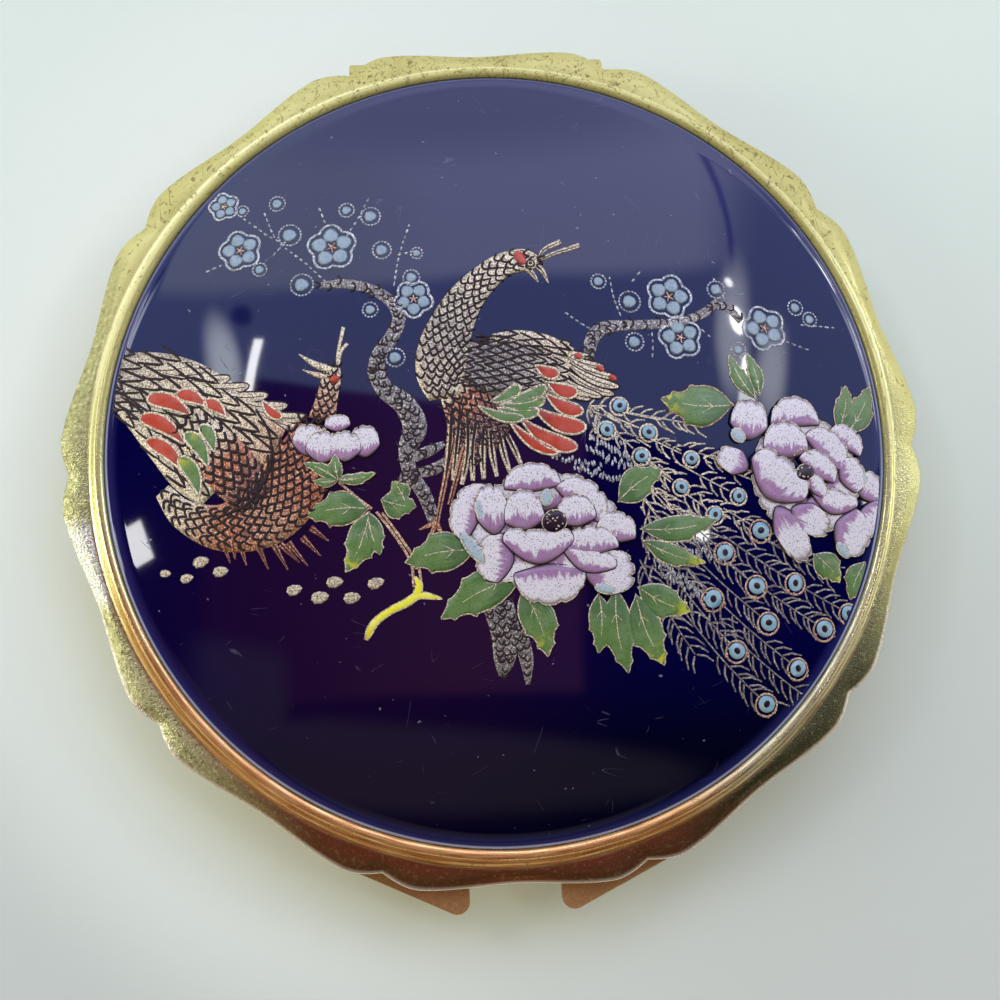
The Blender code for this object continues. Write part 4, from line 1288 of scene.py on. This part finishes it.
def scratch_group():
    """Fine lines that mostly run one way, broken up into lengths."""
    sizes = {"Angle": 0.0, "Length": 60.0, "Closeness": 1500.0, "Width": 0.01, "Amount": 0.5}
    tree, given, out = open_group("Scratches", "ShaderNodeTree", sizes, {"Mask": 0.0})
    values = {"Vector": here(tree), "Angle": given["Angle"]}
    turned = add(tree, "ShaderNodeVectorRotate", values, rotation_type="Z_AXIS").outputs[0]
    stretch = join(tree, given["Length"], given["Closeness"], given["Length"])
    drawn = add(tree, "ShaderNodeVectorMath", {0: turned, 1: stretch}, operation="MULTIPLY").outputs[0]
    line = (noise(tree, drawn, 1.0, 1.0) - 0.5).sum("ABSOLUTE")
    patch = noise(tree, turned, given["Length"] * 4.0, 1.0)
    least = (given["Amount"] * 0.3).inverse() * 0.75
    kept = patch.between(least, least + 0.05)
    mask = line.between(given["Width"], given["Width"] * 0.3) * kept
    tree.links.new(mask.socket, out.inputs["Mask"])
    return tree


def enamel_group():
    """Painted enamel: a ground colour that darkens at its edge, ragged brush streaks that run up
    from its base, and fine dark grains."""
    sizes = {
        "Ground": paint(200, 182, 216), "Streak": paint(150, 95, 165), "Edge": paint(150, 140, 170),
        "Grain": paint(70, 55, 90), "Reach": 0.5, "Edge share": 0.5, "Grain share": 0.5, "Across": 5.0,
        "Bloom": 0.15,
    }
    results = {"Colour": (0, 0, 0, 1), "Relief": 0.0}
    tree, given, out = open_group("Painted enamel", "ShaderNodeTree", sizes, results)
    u, v, seed = split(tree, add(tree, "ShaderNodeAttribute", attribute_name="grain").outputs["Vector"])
    ragged = noise(tree, join(tree, u * given["Across"], v * 1.3, seed * 7.0), 1.6, 3.0)
    height = given["Reach"] * 0.55 + (ragged - 0.5) * 1.5 * given["Reach"]
    streak = v.between(height + 0.12, height - 0.04)
    colour = mix(tree, streak * 0.95, given["Ground"], given["Streak"])
    side = u.sum("ABSOLUTE").between(0.76, 1.0)
    rim = v.between(0.86, 1.0).sum("MAXIMUM", side).sum("MAXIMUM", v.between(0.12, 0.0))
    colour = mix(tree, rim * given["Edge share"], colour, given["Edge"])
    place = here(tree)
    cloud = noise(tree, place, 900.0, 2.0)
    grains = noise(tree, place, 7500.0, 2.0)
    dark = grains.between(0.56, 0.66) * given["Grain share"]
    colour = mix(tree, dark, colour, given["Grain"])
    pale = mix(tree, cloud.between(0.35, 0.75) * given["Bloom"], colour, (1, 1, 1, 1))
    tree.links.new(pale.socket, out.inputs["Colour"])
    tree.links.new((grains * 0.5 + cloud * 0.5).socket, out.inputs["Relief"])
    return tree


def group(tree, item, **values):
    inputs = {label.replace("_", " "): value for label, value in values.items()}
    return add(tree, "ShaderNodeGroup", inputs, node_tree=item)


def specks(tree, scale, crowding, softness, shift=0.0):
    node = group(tree, SPECKS, Scale=scale, Crowding=crowding, Softness=softness, Shift=shift)
    return Term(node.outputs[0])


def scratches(tree, ways, **sizes):
    """Scratches that run several ways, given as (angle, length, width)."""
    masks = [
        Term(group(tree, SCRATCHES, Angle=angle, Length=length, Width=width, **sizes).outputs[0])
        for angle, length, width in ways
    ]
    lines = masks[0]
    for mask in masks[1:]:
        lines = lines.sum("MAXIMUM", mask)
    return lines


def gilt(name, pale, deep, copper, front, dark, wear, shine):
    """Gold plate on brass: pitted and scratched most near the hinge, grainy at the sides. Painted
    reflections: copper along the front of the bead with a pale painted sheen on its right, dark red
    brown, olive and near black on the front of its flange, olive on its west side with a painted
    flare there, painted sparkle in its grain, painted light in the cove at the back, and a painted
    highlight along the lid's lower front edge. Copper, front and dark are these painted colours."""
    material, tree, shader = open_material(name)
    place = here(tree)
    x, y, z = split(tree, place)
    radius = from_middle(x, y)
    north, yellow = y.between(-0.01, 0.04), y.between(-0.008, 0.012)
    south, right, left = y.between(0.0, -0.024), x.between(0.014, 0.024), x.between(-0.018, -0.031)
    broad = noise(tree, place, 120.0, 3.0).between(0.3, 0.7)
    fine = noise(tree, place, 5200.0, 2.0)
    crowd = (north * 0.3 + 0.26 + broad * 0.12) * wear
    pits, dots = specks(tree, 3400.0, crowd, 0.04), specks(tree, 1500.0, crowd * 0.86, 0.03, 3.0)
    ways = ((0.5, 260.0, 0.02), (-0.7, 320.0, 0.018), (1.4, 200.0, 0.022), (2.3, 280.0, 0.018))
    lines = scratches(tree, ways, Closeness=1500.0, Amount=crowd * 1.5)
    marks = pits.sum("MAXIMUM", dots).sum("MAXIMUM", lines * 0.8)
    # Bands of the rim, by their radius in metres. Painted light and painted reflections go on the back of the
    # cove, the front of the bead and of the flange and the west flange, and painted highlights go on a flare there
    # and on the lid's lower front edge.
    cove = radius.between(0.0377, 0.038) * radius.between(0.0391, 0.0388) * yellow
    bead = radius.between(0.0392, 0.0387) * radius.between(0.0368, 0.0371) * south
    flange = radius.between(0.0386, 0.0391) * south
    # The west flange, painted olive as a reflection, with a painted flare on it.
    west = x.between(-0.034, -0.038) * radius.between(0.0386, 0.0392)
    flare = west * y.between(-0.0135, -0.0115) * y.between(-0.0035, -0.006)
    # Rings along the bead, for its painted bright and dark streaks of reflection.
    rings = noise(tree, join(tree, radius * 40.0, x, y), 300.0, 2.0)
    crumbs = noise(tree, place, 2600.0, 3.0)
    # Where the grain of the flange gets painted sparkle.
    grain_and_sparkle_part = (flange * left + west).sum("MINIMUM", 1.0) * 0.8 + flange * 0.2
    low = LID_LOW.z
    # The lid's lower edge, with a painted highlight along its front.
    lip = z.between(low + 1.35 * MM, low + 1.15 * MM) * z.between(low + 0.5 * MM, low + 0.8 * MM)
    colour = coats(tree, paint(*pale), (broad, deep), (fine.between(0.5, 0.75) * 0.25, (255, 246, 190)))
    colour = mix(tree, yellow, colour, mix(tree, broad, paint(202, 192, 122), paint(190, 179, 106)))
    # Painted light: the back of the cove is painted pale gold, lifting the shade it lies in.
    colour = coats(tree, colour, (cove * 0.8, (255, 246, 186)))
    # Painted reflection: the front of the bead is painted copper, with a pale grey gold painted sheen on its
    # right.
    colour = mix(tree, bead * 0.9, colour, mix(tree, right, paint(*copper), paint(206, 198, 160)))
    # Painted reflection: the front of the flange is painted dark red brown, pale olive gold on its left and near
    # black on its right.
    painted_flange_reflection = coats(tree, paint(*front), (left, (200, 197, 142)), (right, dark))
    colour = mix(tree, flange * 0.9, colour, painted_flange_reflection)
    # Painted reflections and highlights: olive on the west flange, bright and dark painted streaks along the bead,
    # bright painted sparkle over the darker grain of the flange, a painted flare on the west flange and a painted
    # highlight along the lid's lower front edge. The marks are real pits and scratches.
    colour = coats(
        tree, colour, (west * 0.75, (166, 165, 112)),
        (bead * rings.between(0.5, 0.64) * 0.6, (255, 226, 160)),
        (bead * rings.between(0.48, 0.36) * 0.6, (150, 84, 44)),
        (grain_and_sparkle_part * crumbs.between(0.56, 0.68) * 0.6, (255, 240, 186)),
        (grain_and_sparkle_part * crumbs.between(0.46, 0.34) * 0.5, (78, 50, 24)),
        (flare * 0.65, (252, 252, 236)), (lip * south * 0.9, (250, 236, 214)), (marks * 0.7, (110, 92, 48)),
    )
    feed(shader.inputs["Base Color"], colour)
    zones = north * 0.24 + south * 0.05
    feed(shader.inputs["Roughness"], broad * 0.06 + shine + fine * 0.08 + marks * 0.2 + zones)
    dullness = yellow * 0.42 + south * x.between(-0.037, -0.029) * 0.16
    feed(shader.inputs["Metallic"], (marks * 0.3).inverse() * dullness.inverse() * 0.92)
    sides = x.sum("ABSOLUTE").between(0.018, 0.034) * y.between(0.014, 0.0)
    grain = noise(tree, place, 6800.0, 1.0) * (sides * 2.4 + 0.1) * radius.between(0.0388, 0.0393)
    feed(shader.inputs["Normal"], bump(tree, fine * 0.25 - marks * 0.4 + grain, 0.00004, 0.9))
    return material


def cobalt_glaze():
    """Deep blue glaze, aubergine below and left of the middle, darker at the front and pale at the
    rim, with dust and fine scratches."""
    material, tree, shader = open_material("deep_cobalt_glaze")
    place = here(tree)
    x, y, _ = split(tree, place)
    radius = from_middle(x, y)
    away = ((x + 0.012) * (x + 0.012) * 0.8 + (y + 0.013) * (y + 0.013)).sum("SQRT")
    cloud = noise(tree, place, 55.0, 2.0)
    warm = (away + (cloud - 0.5) * 0.008).between(0.028, 0.008)
    north = y.between(0.0, 0.034)
    dust = specks(tree, 1500.0, 0.37, 0.03, 1.0)
    ways = [(angle, run, 0.004) for angle, run in ((0.9, 70.0), (1.9, 55.0), (2.8, 90.0), (0.2, 60.0))]
    hair = scratches(tree, ways, Closeness=420.0, Amount=0.35)
    south = y.between(0.03, -0.01) * 0.5 + 0.35
    colour = coats(
        tree, mix(tree, north, paint(2, 2, 54), paint(4, 4, 64)), (y.between(-0.018, -0.03), (2, 2, 24)),
        (warm * 0.8, (22, 4, 38)), (dust * 0.35, (150, 150, 170)), (hair * 0.12, (150, 150, 175)),
        (radius.between(0.0355, 0.0367) * south * 0.5, (48, 50, 110)),
        (radius.between(0.03662, 0.0368) * south, (164, 168, 204)),
    )
    feed(shader.inputs["Base Color"], colour)
    feed(shader.inputs["Roughness"], hair * 0.2 + 0.045 + dust * 0.3)
    shader.inputs["IOR"].default_value = 1.52
    wave = noise(tree, place, 90.0, 1.0)
    feed(shader.inputs["Normal"], bump(tree, wave, 0.0003, 0.12))
    return material


def gold_ink():
    """Fired gold in tiny granules, with the glaze showing between them. Tint -0.5 is silver, 0 a
    grey brown, 0.45 a pale gold, 1 a copper red gold and 1.5 a dark brown."""
    material, tree, shader = open_material("gold_ink")
    tint = Term(add(tree, "ShaderNodeAttribute", attribute_name="tint").outputs["Fac"])
    place = here(tree)
    grains = noise(tree, place, 6400.0, 2.0)
    gaps = grains.between(0.53, 0.42)
    colour = coats(
        tree, paint(188, 194, 204), (tint.between(-0.5, 0.0), (128, 120, 120)),
        (tint.between(0.0, 0.45), (226, 208, 178)), (tint.between(0.45, 1.0), (190, 110, 70)),
        (tint.between(1.0, 1.5), (104, 70, 70)), (grains.between(0.55, 0.68) * 0.6, (255, 244, 218)),
        (gaps * 0.72, (64, 44, 50)),
    )
    feed(shader.inputs["Base Color"], colour)
    feed(shader.inputs["Metallic"], (gaps * 0.35).inverse() * 0.4)
    feed(shader.inputs["Roughness"], grains * 0.3 + 0.3)
    feed(shader.inputs["Normal"], bump(tree, grains, 0.00003, 0.6))
    return material


def umber_ink():
    """The dark brown of the lines round the feathers and petals."""
    material, tree, shader = open_material("umber_ink")
    grains = noise(tree, here(tree), 5000.0, 2.0)
    colour = mix(tree, grains.between(0.5, 0.7), paint(30, 16, 22), paint(66, 42, 36))
    feed(shader.inputs["Base Color"], colour)
    shader.inputs["Roughness"].default_value = 0.55
    shader.inputs["Specular IOR Level"].default_value = 0.3
    return material


def enamel(
    name, ground, streak, edge, grain, edge_share=0.3, reach=0.5, grain_share=0.45, across=5.0, bloom=0.12,
    blotch=None,
):
    """Enamel of one colour. A blotch colour marks the tips of some of its patches."""
    material, tree, shader = open_material(name)
    painted = group(
        tree, ENAMEL, Ground=paint(*ground), Streak=paint(*streak), Edge=paint(*edge), Grain=paint(*grain),
        Reach=reach, Edge_share=edge_share, Grain_share=grain_share, Across=across, Bloom=bloom,
    )
    colour = Term(painted.outputs["Colour"])
    if blotch:
        _, v, seed = split(tree, add(tree, "ShaderNodeAttribute", attribute_name="grain").outputs["Vector"])
        chosen = (seed * 3.7).sum("FRACT").between(0.5, 0.6)
        cloud = noise(tree, here(tree), 1400.0, 3.0).between(0.47, 0.55)
        colour = mix(tree, v.between(0.55, 0.95) * chosen * cloud, colour, blotch)
    relief = Term(painted.outputs["Relief"])
    feed(shader.inputs["Base Color"], colour)
    feed(shader.inputs["Roughness"], relief * 0.2 + 0.22)
    feed(shader.inputs["Normal"], bump(tree, relief, 0.00004, 0.5))
    shader.inputs["IOR"].default_value = 1.5
    return material


def silvered_glass():
    material, tree, shader = open_material("silvered_glass")
    spots = specks(tree, 700.0, 0.36, 0.03, 2.0)
    smear = noise(tree, here(tree), 60.0, 3.0)
    feed(shader.inputs["Base Color"], mix(tree, spots * 0.5, paint(236, 240, 240), paint(120, 118, 110)))
    feed(shader.inputs["Roughness"], smear * 0.05 + 0.01 + spots * 0.3)
    shader.inputs["Metallic"].default_value = 1.0
    return material


def table_top():
    material, tree, shader = open_material("pale_table")
    place = here(tree)
    x, y, _ = split(tree, place)
    # Painted shade and light: the floor is painted darker towards the south, and paler round the compact, most to
    # the west, where its shadow falls.
    south = y.between(0.04, -0.06)
    near = from_middle(x, y).between(0.066, 0.044) * x.between(0.05, -0.04)
    colour = coats(
        tree, paint(218, 226, 216), (noise(tree, place, 14.0, 2.0), (222, 229, 219)),
        (south, (193, 195, 188)), (near, (230, 233, 226)),
    )
    feed(shader.inputs["Base Color"], colour)
    shader.inputs["Roughness"].default_value = 0.75
    shader.inputs["Specular IOR Level"].default_value = 0.2
    return material


# Light and camera


SOFT_TINT = (0.92, 1.0, 0.58)
# name, place, target, size, watts
SOFT_LIGHTS = (
    ("window", (0, 0.95, 0.75), (0, 0, 0.01), (1.6, 0.7), 0.85),
    ("ceiling", (0.05, -0.1, 1.1), (0, 0, 0), (1.3, 1.3), 3.1),
    ("far_wall", (-0.1, -1.0, 0.5), (0, 0, 0.01), (1.8, 0.8), 3.2),
    ("side_wall", (-1.1, -0.2, 0.5), (0, 0, 0.01), (1.4, 0.8), 1.5),
)
# name, the ends of its reflection on the glaze in millimetres, width in metres, glow
HIGHLIGHTS = (
    ("left_streak", (-21.9, 11.0), (-23.4, 4.2), 0.016, 20),
    ("left_pane", (-35.0, -5.6), (-33.7, -9.2), 0.052, 16),
    ("right_glint", (22.6, 12.6), (22.9, 9.8), 0.026, 20),
    ("small_glint", (22.0, 15.4), (22.5, 14.6), 0.012, 16),
    ("leaf_glint", (23.3, 8.0), (23.0, 5.0), 0.014, 20),
    ("right_lamp", (23.4, 6.4), (22.6, 0.2), 0.03, 9),
    ("middle_lamp", (16.0, -7.4), (18.4, -9.4), 0.03, 22),
    ("edge_lamp", (35.2, -7.2), (35.6, -5.0), 0.04, 10),
)


def area_light(name, spot, target, size, watts, colour=(1, 1, 1), mirrored=True):
    """A soft panel of light. Places and sizes are metres."""
    data = bpy.data.lights.new(name, "AREA")
    data.shape = "RECTANGLE"
    data.size, data.size_y = size
    data.energy = watts
    data.color = colour
    lamp = bpy.data.objects.new(name, data)
    lamp.location = spot
    lamp.rotation_euler = (Vector(target) - Vector(spot)).to_track_quat("-Z", "Y").to_euler()
    lamp.visible_glossy = mirrored
    bpy.context.scene.collection.objects.link(lamp)
    return lamp


def room():
    """What the glaze and the gilt mirror: a pale wall to the north with a dark corner and the line
    of a curtain on it, a blue wall below it, a dim ceiling with warm dark shapes in it, bright
    sides with a flash on each, a pale horizon that turns brown red to the south, and three soft
    glows."""
    world = bpy.data.worlds.new("dim_room")
    world.use_nodes = True
    tree = world.node_tree
    tree.nodes.clear()
    x, y, z = split(tree, add(tree, "ShaderNodeTexCoord").outputs["Generated"])
    low = mix(tree, x.between(-0.6, 0.0), (0.1, 0.03, 0.05, 1), (0.3, 0.1, 0.17, 1))
    shape = x.between(-0.68, -0.62) * x.between(0.27, 0.23) * y.between(-0.46, -0.42)
    sill = (y + x * 0.12).between(-0.5, -0.56) * (y + x * x * -0.3).between(-0.74, -0.68)
    sill = sill * x.between(0.6, 0.4)
    chair = x.between(-0.72, -0.62) * x.between(-0.44, -0.5) * (y + x * 0.3).between(-0.42, -0.5)
    wall = y.between(0.52, 0.57) * x.between(-0.78, -0.62) * x.between(0.66, 0.5)
    grey = mix(tree, x.between(-0.3, 0.0), (1.6, 1.85, 2.2, 1), (1.9, 2.05, 2.9, 1))
    corner = ((x + 0.506) * (x + 0.506) + (y - 0.495) * (y - 0.495)).between(0.0009, 0.0001)
    late = y - 0.53
    curtain = (x + late * late * 1.5 - 0.6).sum("ABSOLUTE").between(0.009, 0.002)
    curtain = curtain * y.between(0.5, 0.55) * y.between(0.84, 0.74)
    aside = x.sum("ABSOLUTE")
    sides = aside.between(0.89, 0.95)
    colour = coats(
        tree, mix(tree, shape, (0.01, 0.01, 0.02, 1), low),
        (sill.sum("MAXIMUM", chair) * y.between(-0.8, -0.7), (0.19, 0.16, 0.17, 1)),
        ((y + x * 0.2).between(0.235, 0.255), (0.72, 0.88, 1.5, 1)),
    )
    colour = mix(tree, wall, colour, mix(tree, y.between(0.76, 0.88), grey, (1.3, 1.4, 1.9, 1)))
    colour = coats(
        tree, colour, (corner * 0.8, (0.05, 0.05, 0.15, 1)), (curtain * 0.8, (0.3, 0.3, 1.3, 1)),
        (sides, (1.7, 1.7, 1.5, 1)),
    )
    flash = mix(tree, x.between(-0.5, 0.5), (9.0, 9.2, 8.6, 1), (2.4, 2.4, 2.2, 1))
    pale = mix(tree, aside.between(0.6, 0.9), (0.8, 0.8, 0.66, 1), (1.6, 1.6, 1.4, 1))
    horizon = mix(tree, y.between(-0.3, -0.6), pale, (0.3, 0.1, 0.05, 1))
    colour = mix(tree, z.between(0.34, 0.2), colour, horizon)
    colour = mix(tree, sides * y.sum("ABSOLUTE").between(0.18, 0.06), colour, flash)
    for middle, reach, glow in (
        ((-0.562, 0.37), (0.052, 0.17), (6.2, 6.7, 7.4, 1)), ((0.605, 0.4), (0.05, 0.2), (4.6, 4.9, 5.4, 1)),
        ((0.69, 0.31), (0.045, 0.15), (4.8, 5.1, 5.6, 1)),
    ):
        across, along = (x - middle[0]) / reach[0], (y - middle[1]) / reach[1]
        soft = (across * across + along * along).between(1.0, 0.0) ** 1.5
        colour = mix(tree, soft, colour, glow)
    shade = add(tree, "ShaderNodeBackground", {"Color": colour, "Strength": 1.0})
    add(tree, "ShaderNodeOutputWorld", {"Surface": shade.outputs[0]})
    bpy.context.scene.world = world


def mirrored_at(spot, distance):
    """Where a light has to stand for the camera to see it mirrored at a place on the glaze."""
    x, y = spot
    radius = math.hypot(x, y)
    cap = CAP_RADIUS / MM
    steep = DOME_RISE / MM * DOME_FULLNESS / cap * (radius / cap) ** (DOME_FULLNESS - 1)
    normal = Vector((steep * x / radius, steep * y / radius, 1)).normalized()
    place = Vector((x * MM, y * MM, dome_height(radius) * MM))
    seen = (place - Vector(CAMERA_SPOT)).normalized()
    return place + seen.reflect(normal) * distance


def highlight(name, start, end, width, glow):
    """A strip of light that is mirrored on the glaze from one place to another."""
    ends = [mirrored_at(spot, LAMP_DISTANCE) for spot in (start, end)]
    middle, along = (ends[0] + ends[1]) / 2, ends[1] - ends[0]
    watts = glow * math.pi * width * along.length
    lamp = area_light(name, middle, (0, 0, 0.015), (width, along.length), watts)
    out = middle.normalized()
    across = along.cross(out).normalized()
    lamp.rotation_euler = Matrix((across, out.cross(across), out)).transposed().to_euler()
    lamp.data.shape = "RECTANGLE" if "left" in name else "ELLIPSE"


LAMP_DISTANCE = 0.6

# The camera, fitted to the outlines of the dome and the rim
CAMERA_SPOT = (-0.01288, -0.02773, 0.1820)
CAMERA_TURN = (6.266, -3.235, -2.684)
CAMERA_LENS = 65.66
CAMERA_SHIFT = (0.022, 0.055)


def stage():
    data = bpy.data.cameras.new("camera")
    data.lens, data.sensor_width = CAMERA_LENS, 36.0
    data.shift_x, data.shift_y = CAMERA_SHIFT
    data.clip_start = 0.01
    camera = bpy.data.objects.new("camera", data)
    camera.location = CAMERA_SPOT
    camera.rotation_euler = [math.radians(a) for a in CAMERA_TURN]
    bpy.context.scene.collection.objects.link(camera)
    bpy.context.scene.camera = camera

    mesh = bpy.data.meshes.new("table")
    half = 1.5
    corners = [(-half, -half, 0), (half, -half, 0), (half, half, 0), (-half, half, 0)]
    mesh.from_pydata(corners, [], [(0, 1, 2, 3)])
    mesh.materials.append(table_top())
    link("table", mesh)

    for name, spot, target, size, watts in SOFT_LIGHTS:
        area_light(name, spot, target, size, watts, SOFT_TINT, mirrored=False)
    for name, start, end, width, glow in HIGHLIGHTS:
        highlight(name, start, end, width, glow)
    room()
    bpy.context.scene.view_settings.view_transform = "Standard"


# Everything made and put in its place

LAYING = laying_group()
TURNING, STROKING, DABBING, PATCHING = turning_tree(), stroke_tree(), dab_tree(), patch_tree()
SPECKS, SCRATCHES, ENAMEL = speck_group(), scratch_group(), enamel_group()

# In both gilts, copper, front and dark are the colours of painted reflections on the bead and the flange.
outer_gilt = gilt(
    "worn_gilt_painted_reflections", pale=(232, 227, 160), deep=(222, 213, 140), copper=(236, 166, 98), front=(120, 40, 18),
    dark=(40, 39, 25), wear=1.0, shine=0.17,
)
inner_gilt = gilt(
    "inner_gilt", pale=(236, 222, 156), deep=(224, 206, 134), copper=(220, 200, 134), front=(184, 136, 84),
    dark=(190, 172, 112), wear=0.6, shine=0.26,
)
glaze, ink = cobalt_glaze(), gold_ink()

place(turned("gilt_lid_rim", lid_section(), outer_gilt, RIM_TURNS, True), "lid", "gilt_brass", "lid_frame")
place(turned("glazed_dome", dome_section(), glaze), "lid", "cobalt_glaze", "porcelain_dome")
place(make_pan(inner_gilt), "pan", "gilt_brass", "pan")
make_hinge(outer_gilt)
make_mirror(inner_gilt, silvered_glass())

standing_bird()
resting_bird()
long_train()
flowers()
branches_and_blossoms()

place(gold.laid("gold_pen_lines", ink), "lid", "gold_ink")
place(scales.laid("gold_feather_scales", ink), "lid", "gold_ink")
place(ticks.laid("gold_ticks", ink, sides=5, taper=0.1), "lid", "gold_ink")
place(grounds.laid("gold_grounds", ink), "lid", "gold_ink")
place(umber.laid("umber_pen_lines", umber_ink()), "lid", "enamel")
PETAL = enamel(
    "lilac_enamel", (211, 202, 211), (146, 100, 146), (96, 76, 98), (104, 88, 108),
    edge_share=0.75, reach=0.52, grain_share=0.9, across=7.0, bloom=0.05,
)
LEAF = enamel(
    "green_enamel", (90, 120, 64), (70, 102, 58), (62, 82, 42), (40, 52, 26),
    edge_share=0.5, grain_share=0.65, bloom=0.04, blotch=paint(190, 182, 36),
)
EYE = enamel("sky_blue_enamel", (132, 166, 184), (104, 142, 168), (96, 120, 140), (50, 74, 104), reach=0.2)
BLOSSOM = enamel(
    "pale_blue_enamel", (160, 174, 184), (142, 158, 174), (116, 130, 146), (70, 84, 104),
    reach=0.2, grain_share=0.75, bloom=0.06,
)
SCARLET = enamel(
    "scarlet_enamel", (176, 52, 20), (140, 38, 6), (104, 30, 14), (76, 22, 12),
    reach=0.6, grain_share=0.35, bloom=0.04,
)
YELLOW = enamel(
    "yellow_enamel", (226, 216, 44), (214, 200, 40), (170, 160, 30), (150, 140, 30),
    reach=0.2, grain_share=0.3,
)
HEART = enamel("garnet_enamel", (34, 6, 30), (10, 8, 40), (20, 4, 18), (8, 2, 12), reach=0.3, bloom=0.0)
for name, shapes, finish in (
    ("lilac_petals", petals, PETAL), ("green_leaves", leaves, LEAF), ("pale_blue_bits", bits, BLOSSOM),
    ("train_eyes", eyes, EYE), ("scarlet_feathers", scarlet, SCARLET), ("yellow_twig", yellow, YELLOW),
    ("garnet_hearts", hearts, HEART), ("blossom_petals", sky_dabs, BLOSSOM),
):
    place(shapes.laid(name, finish), "lid", "enamel")

stage()
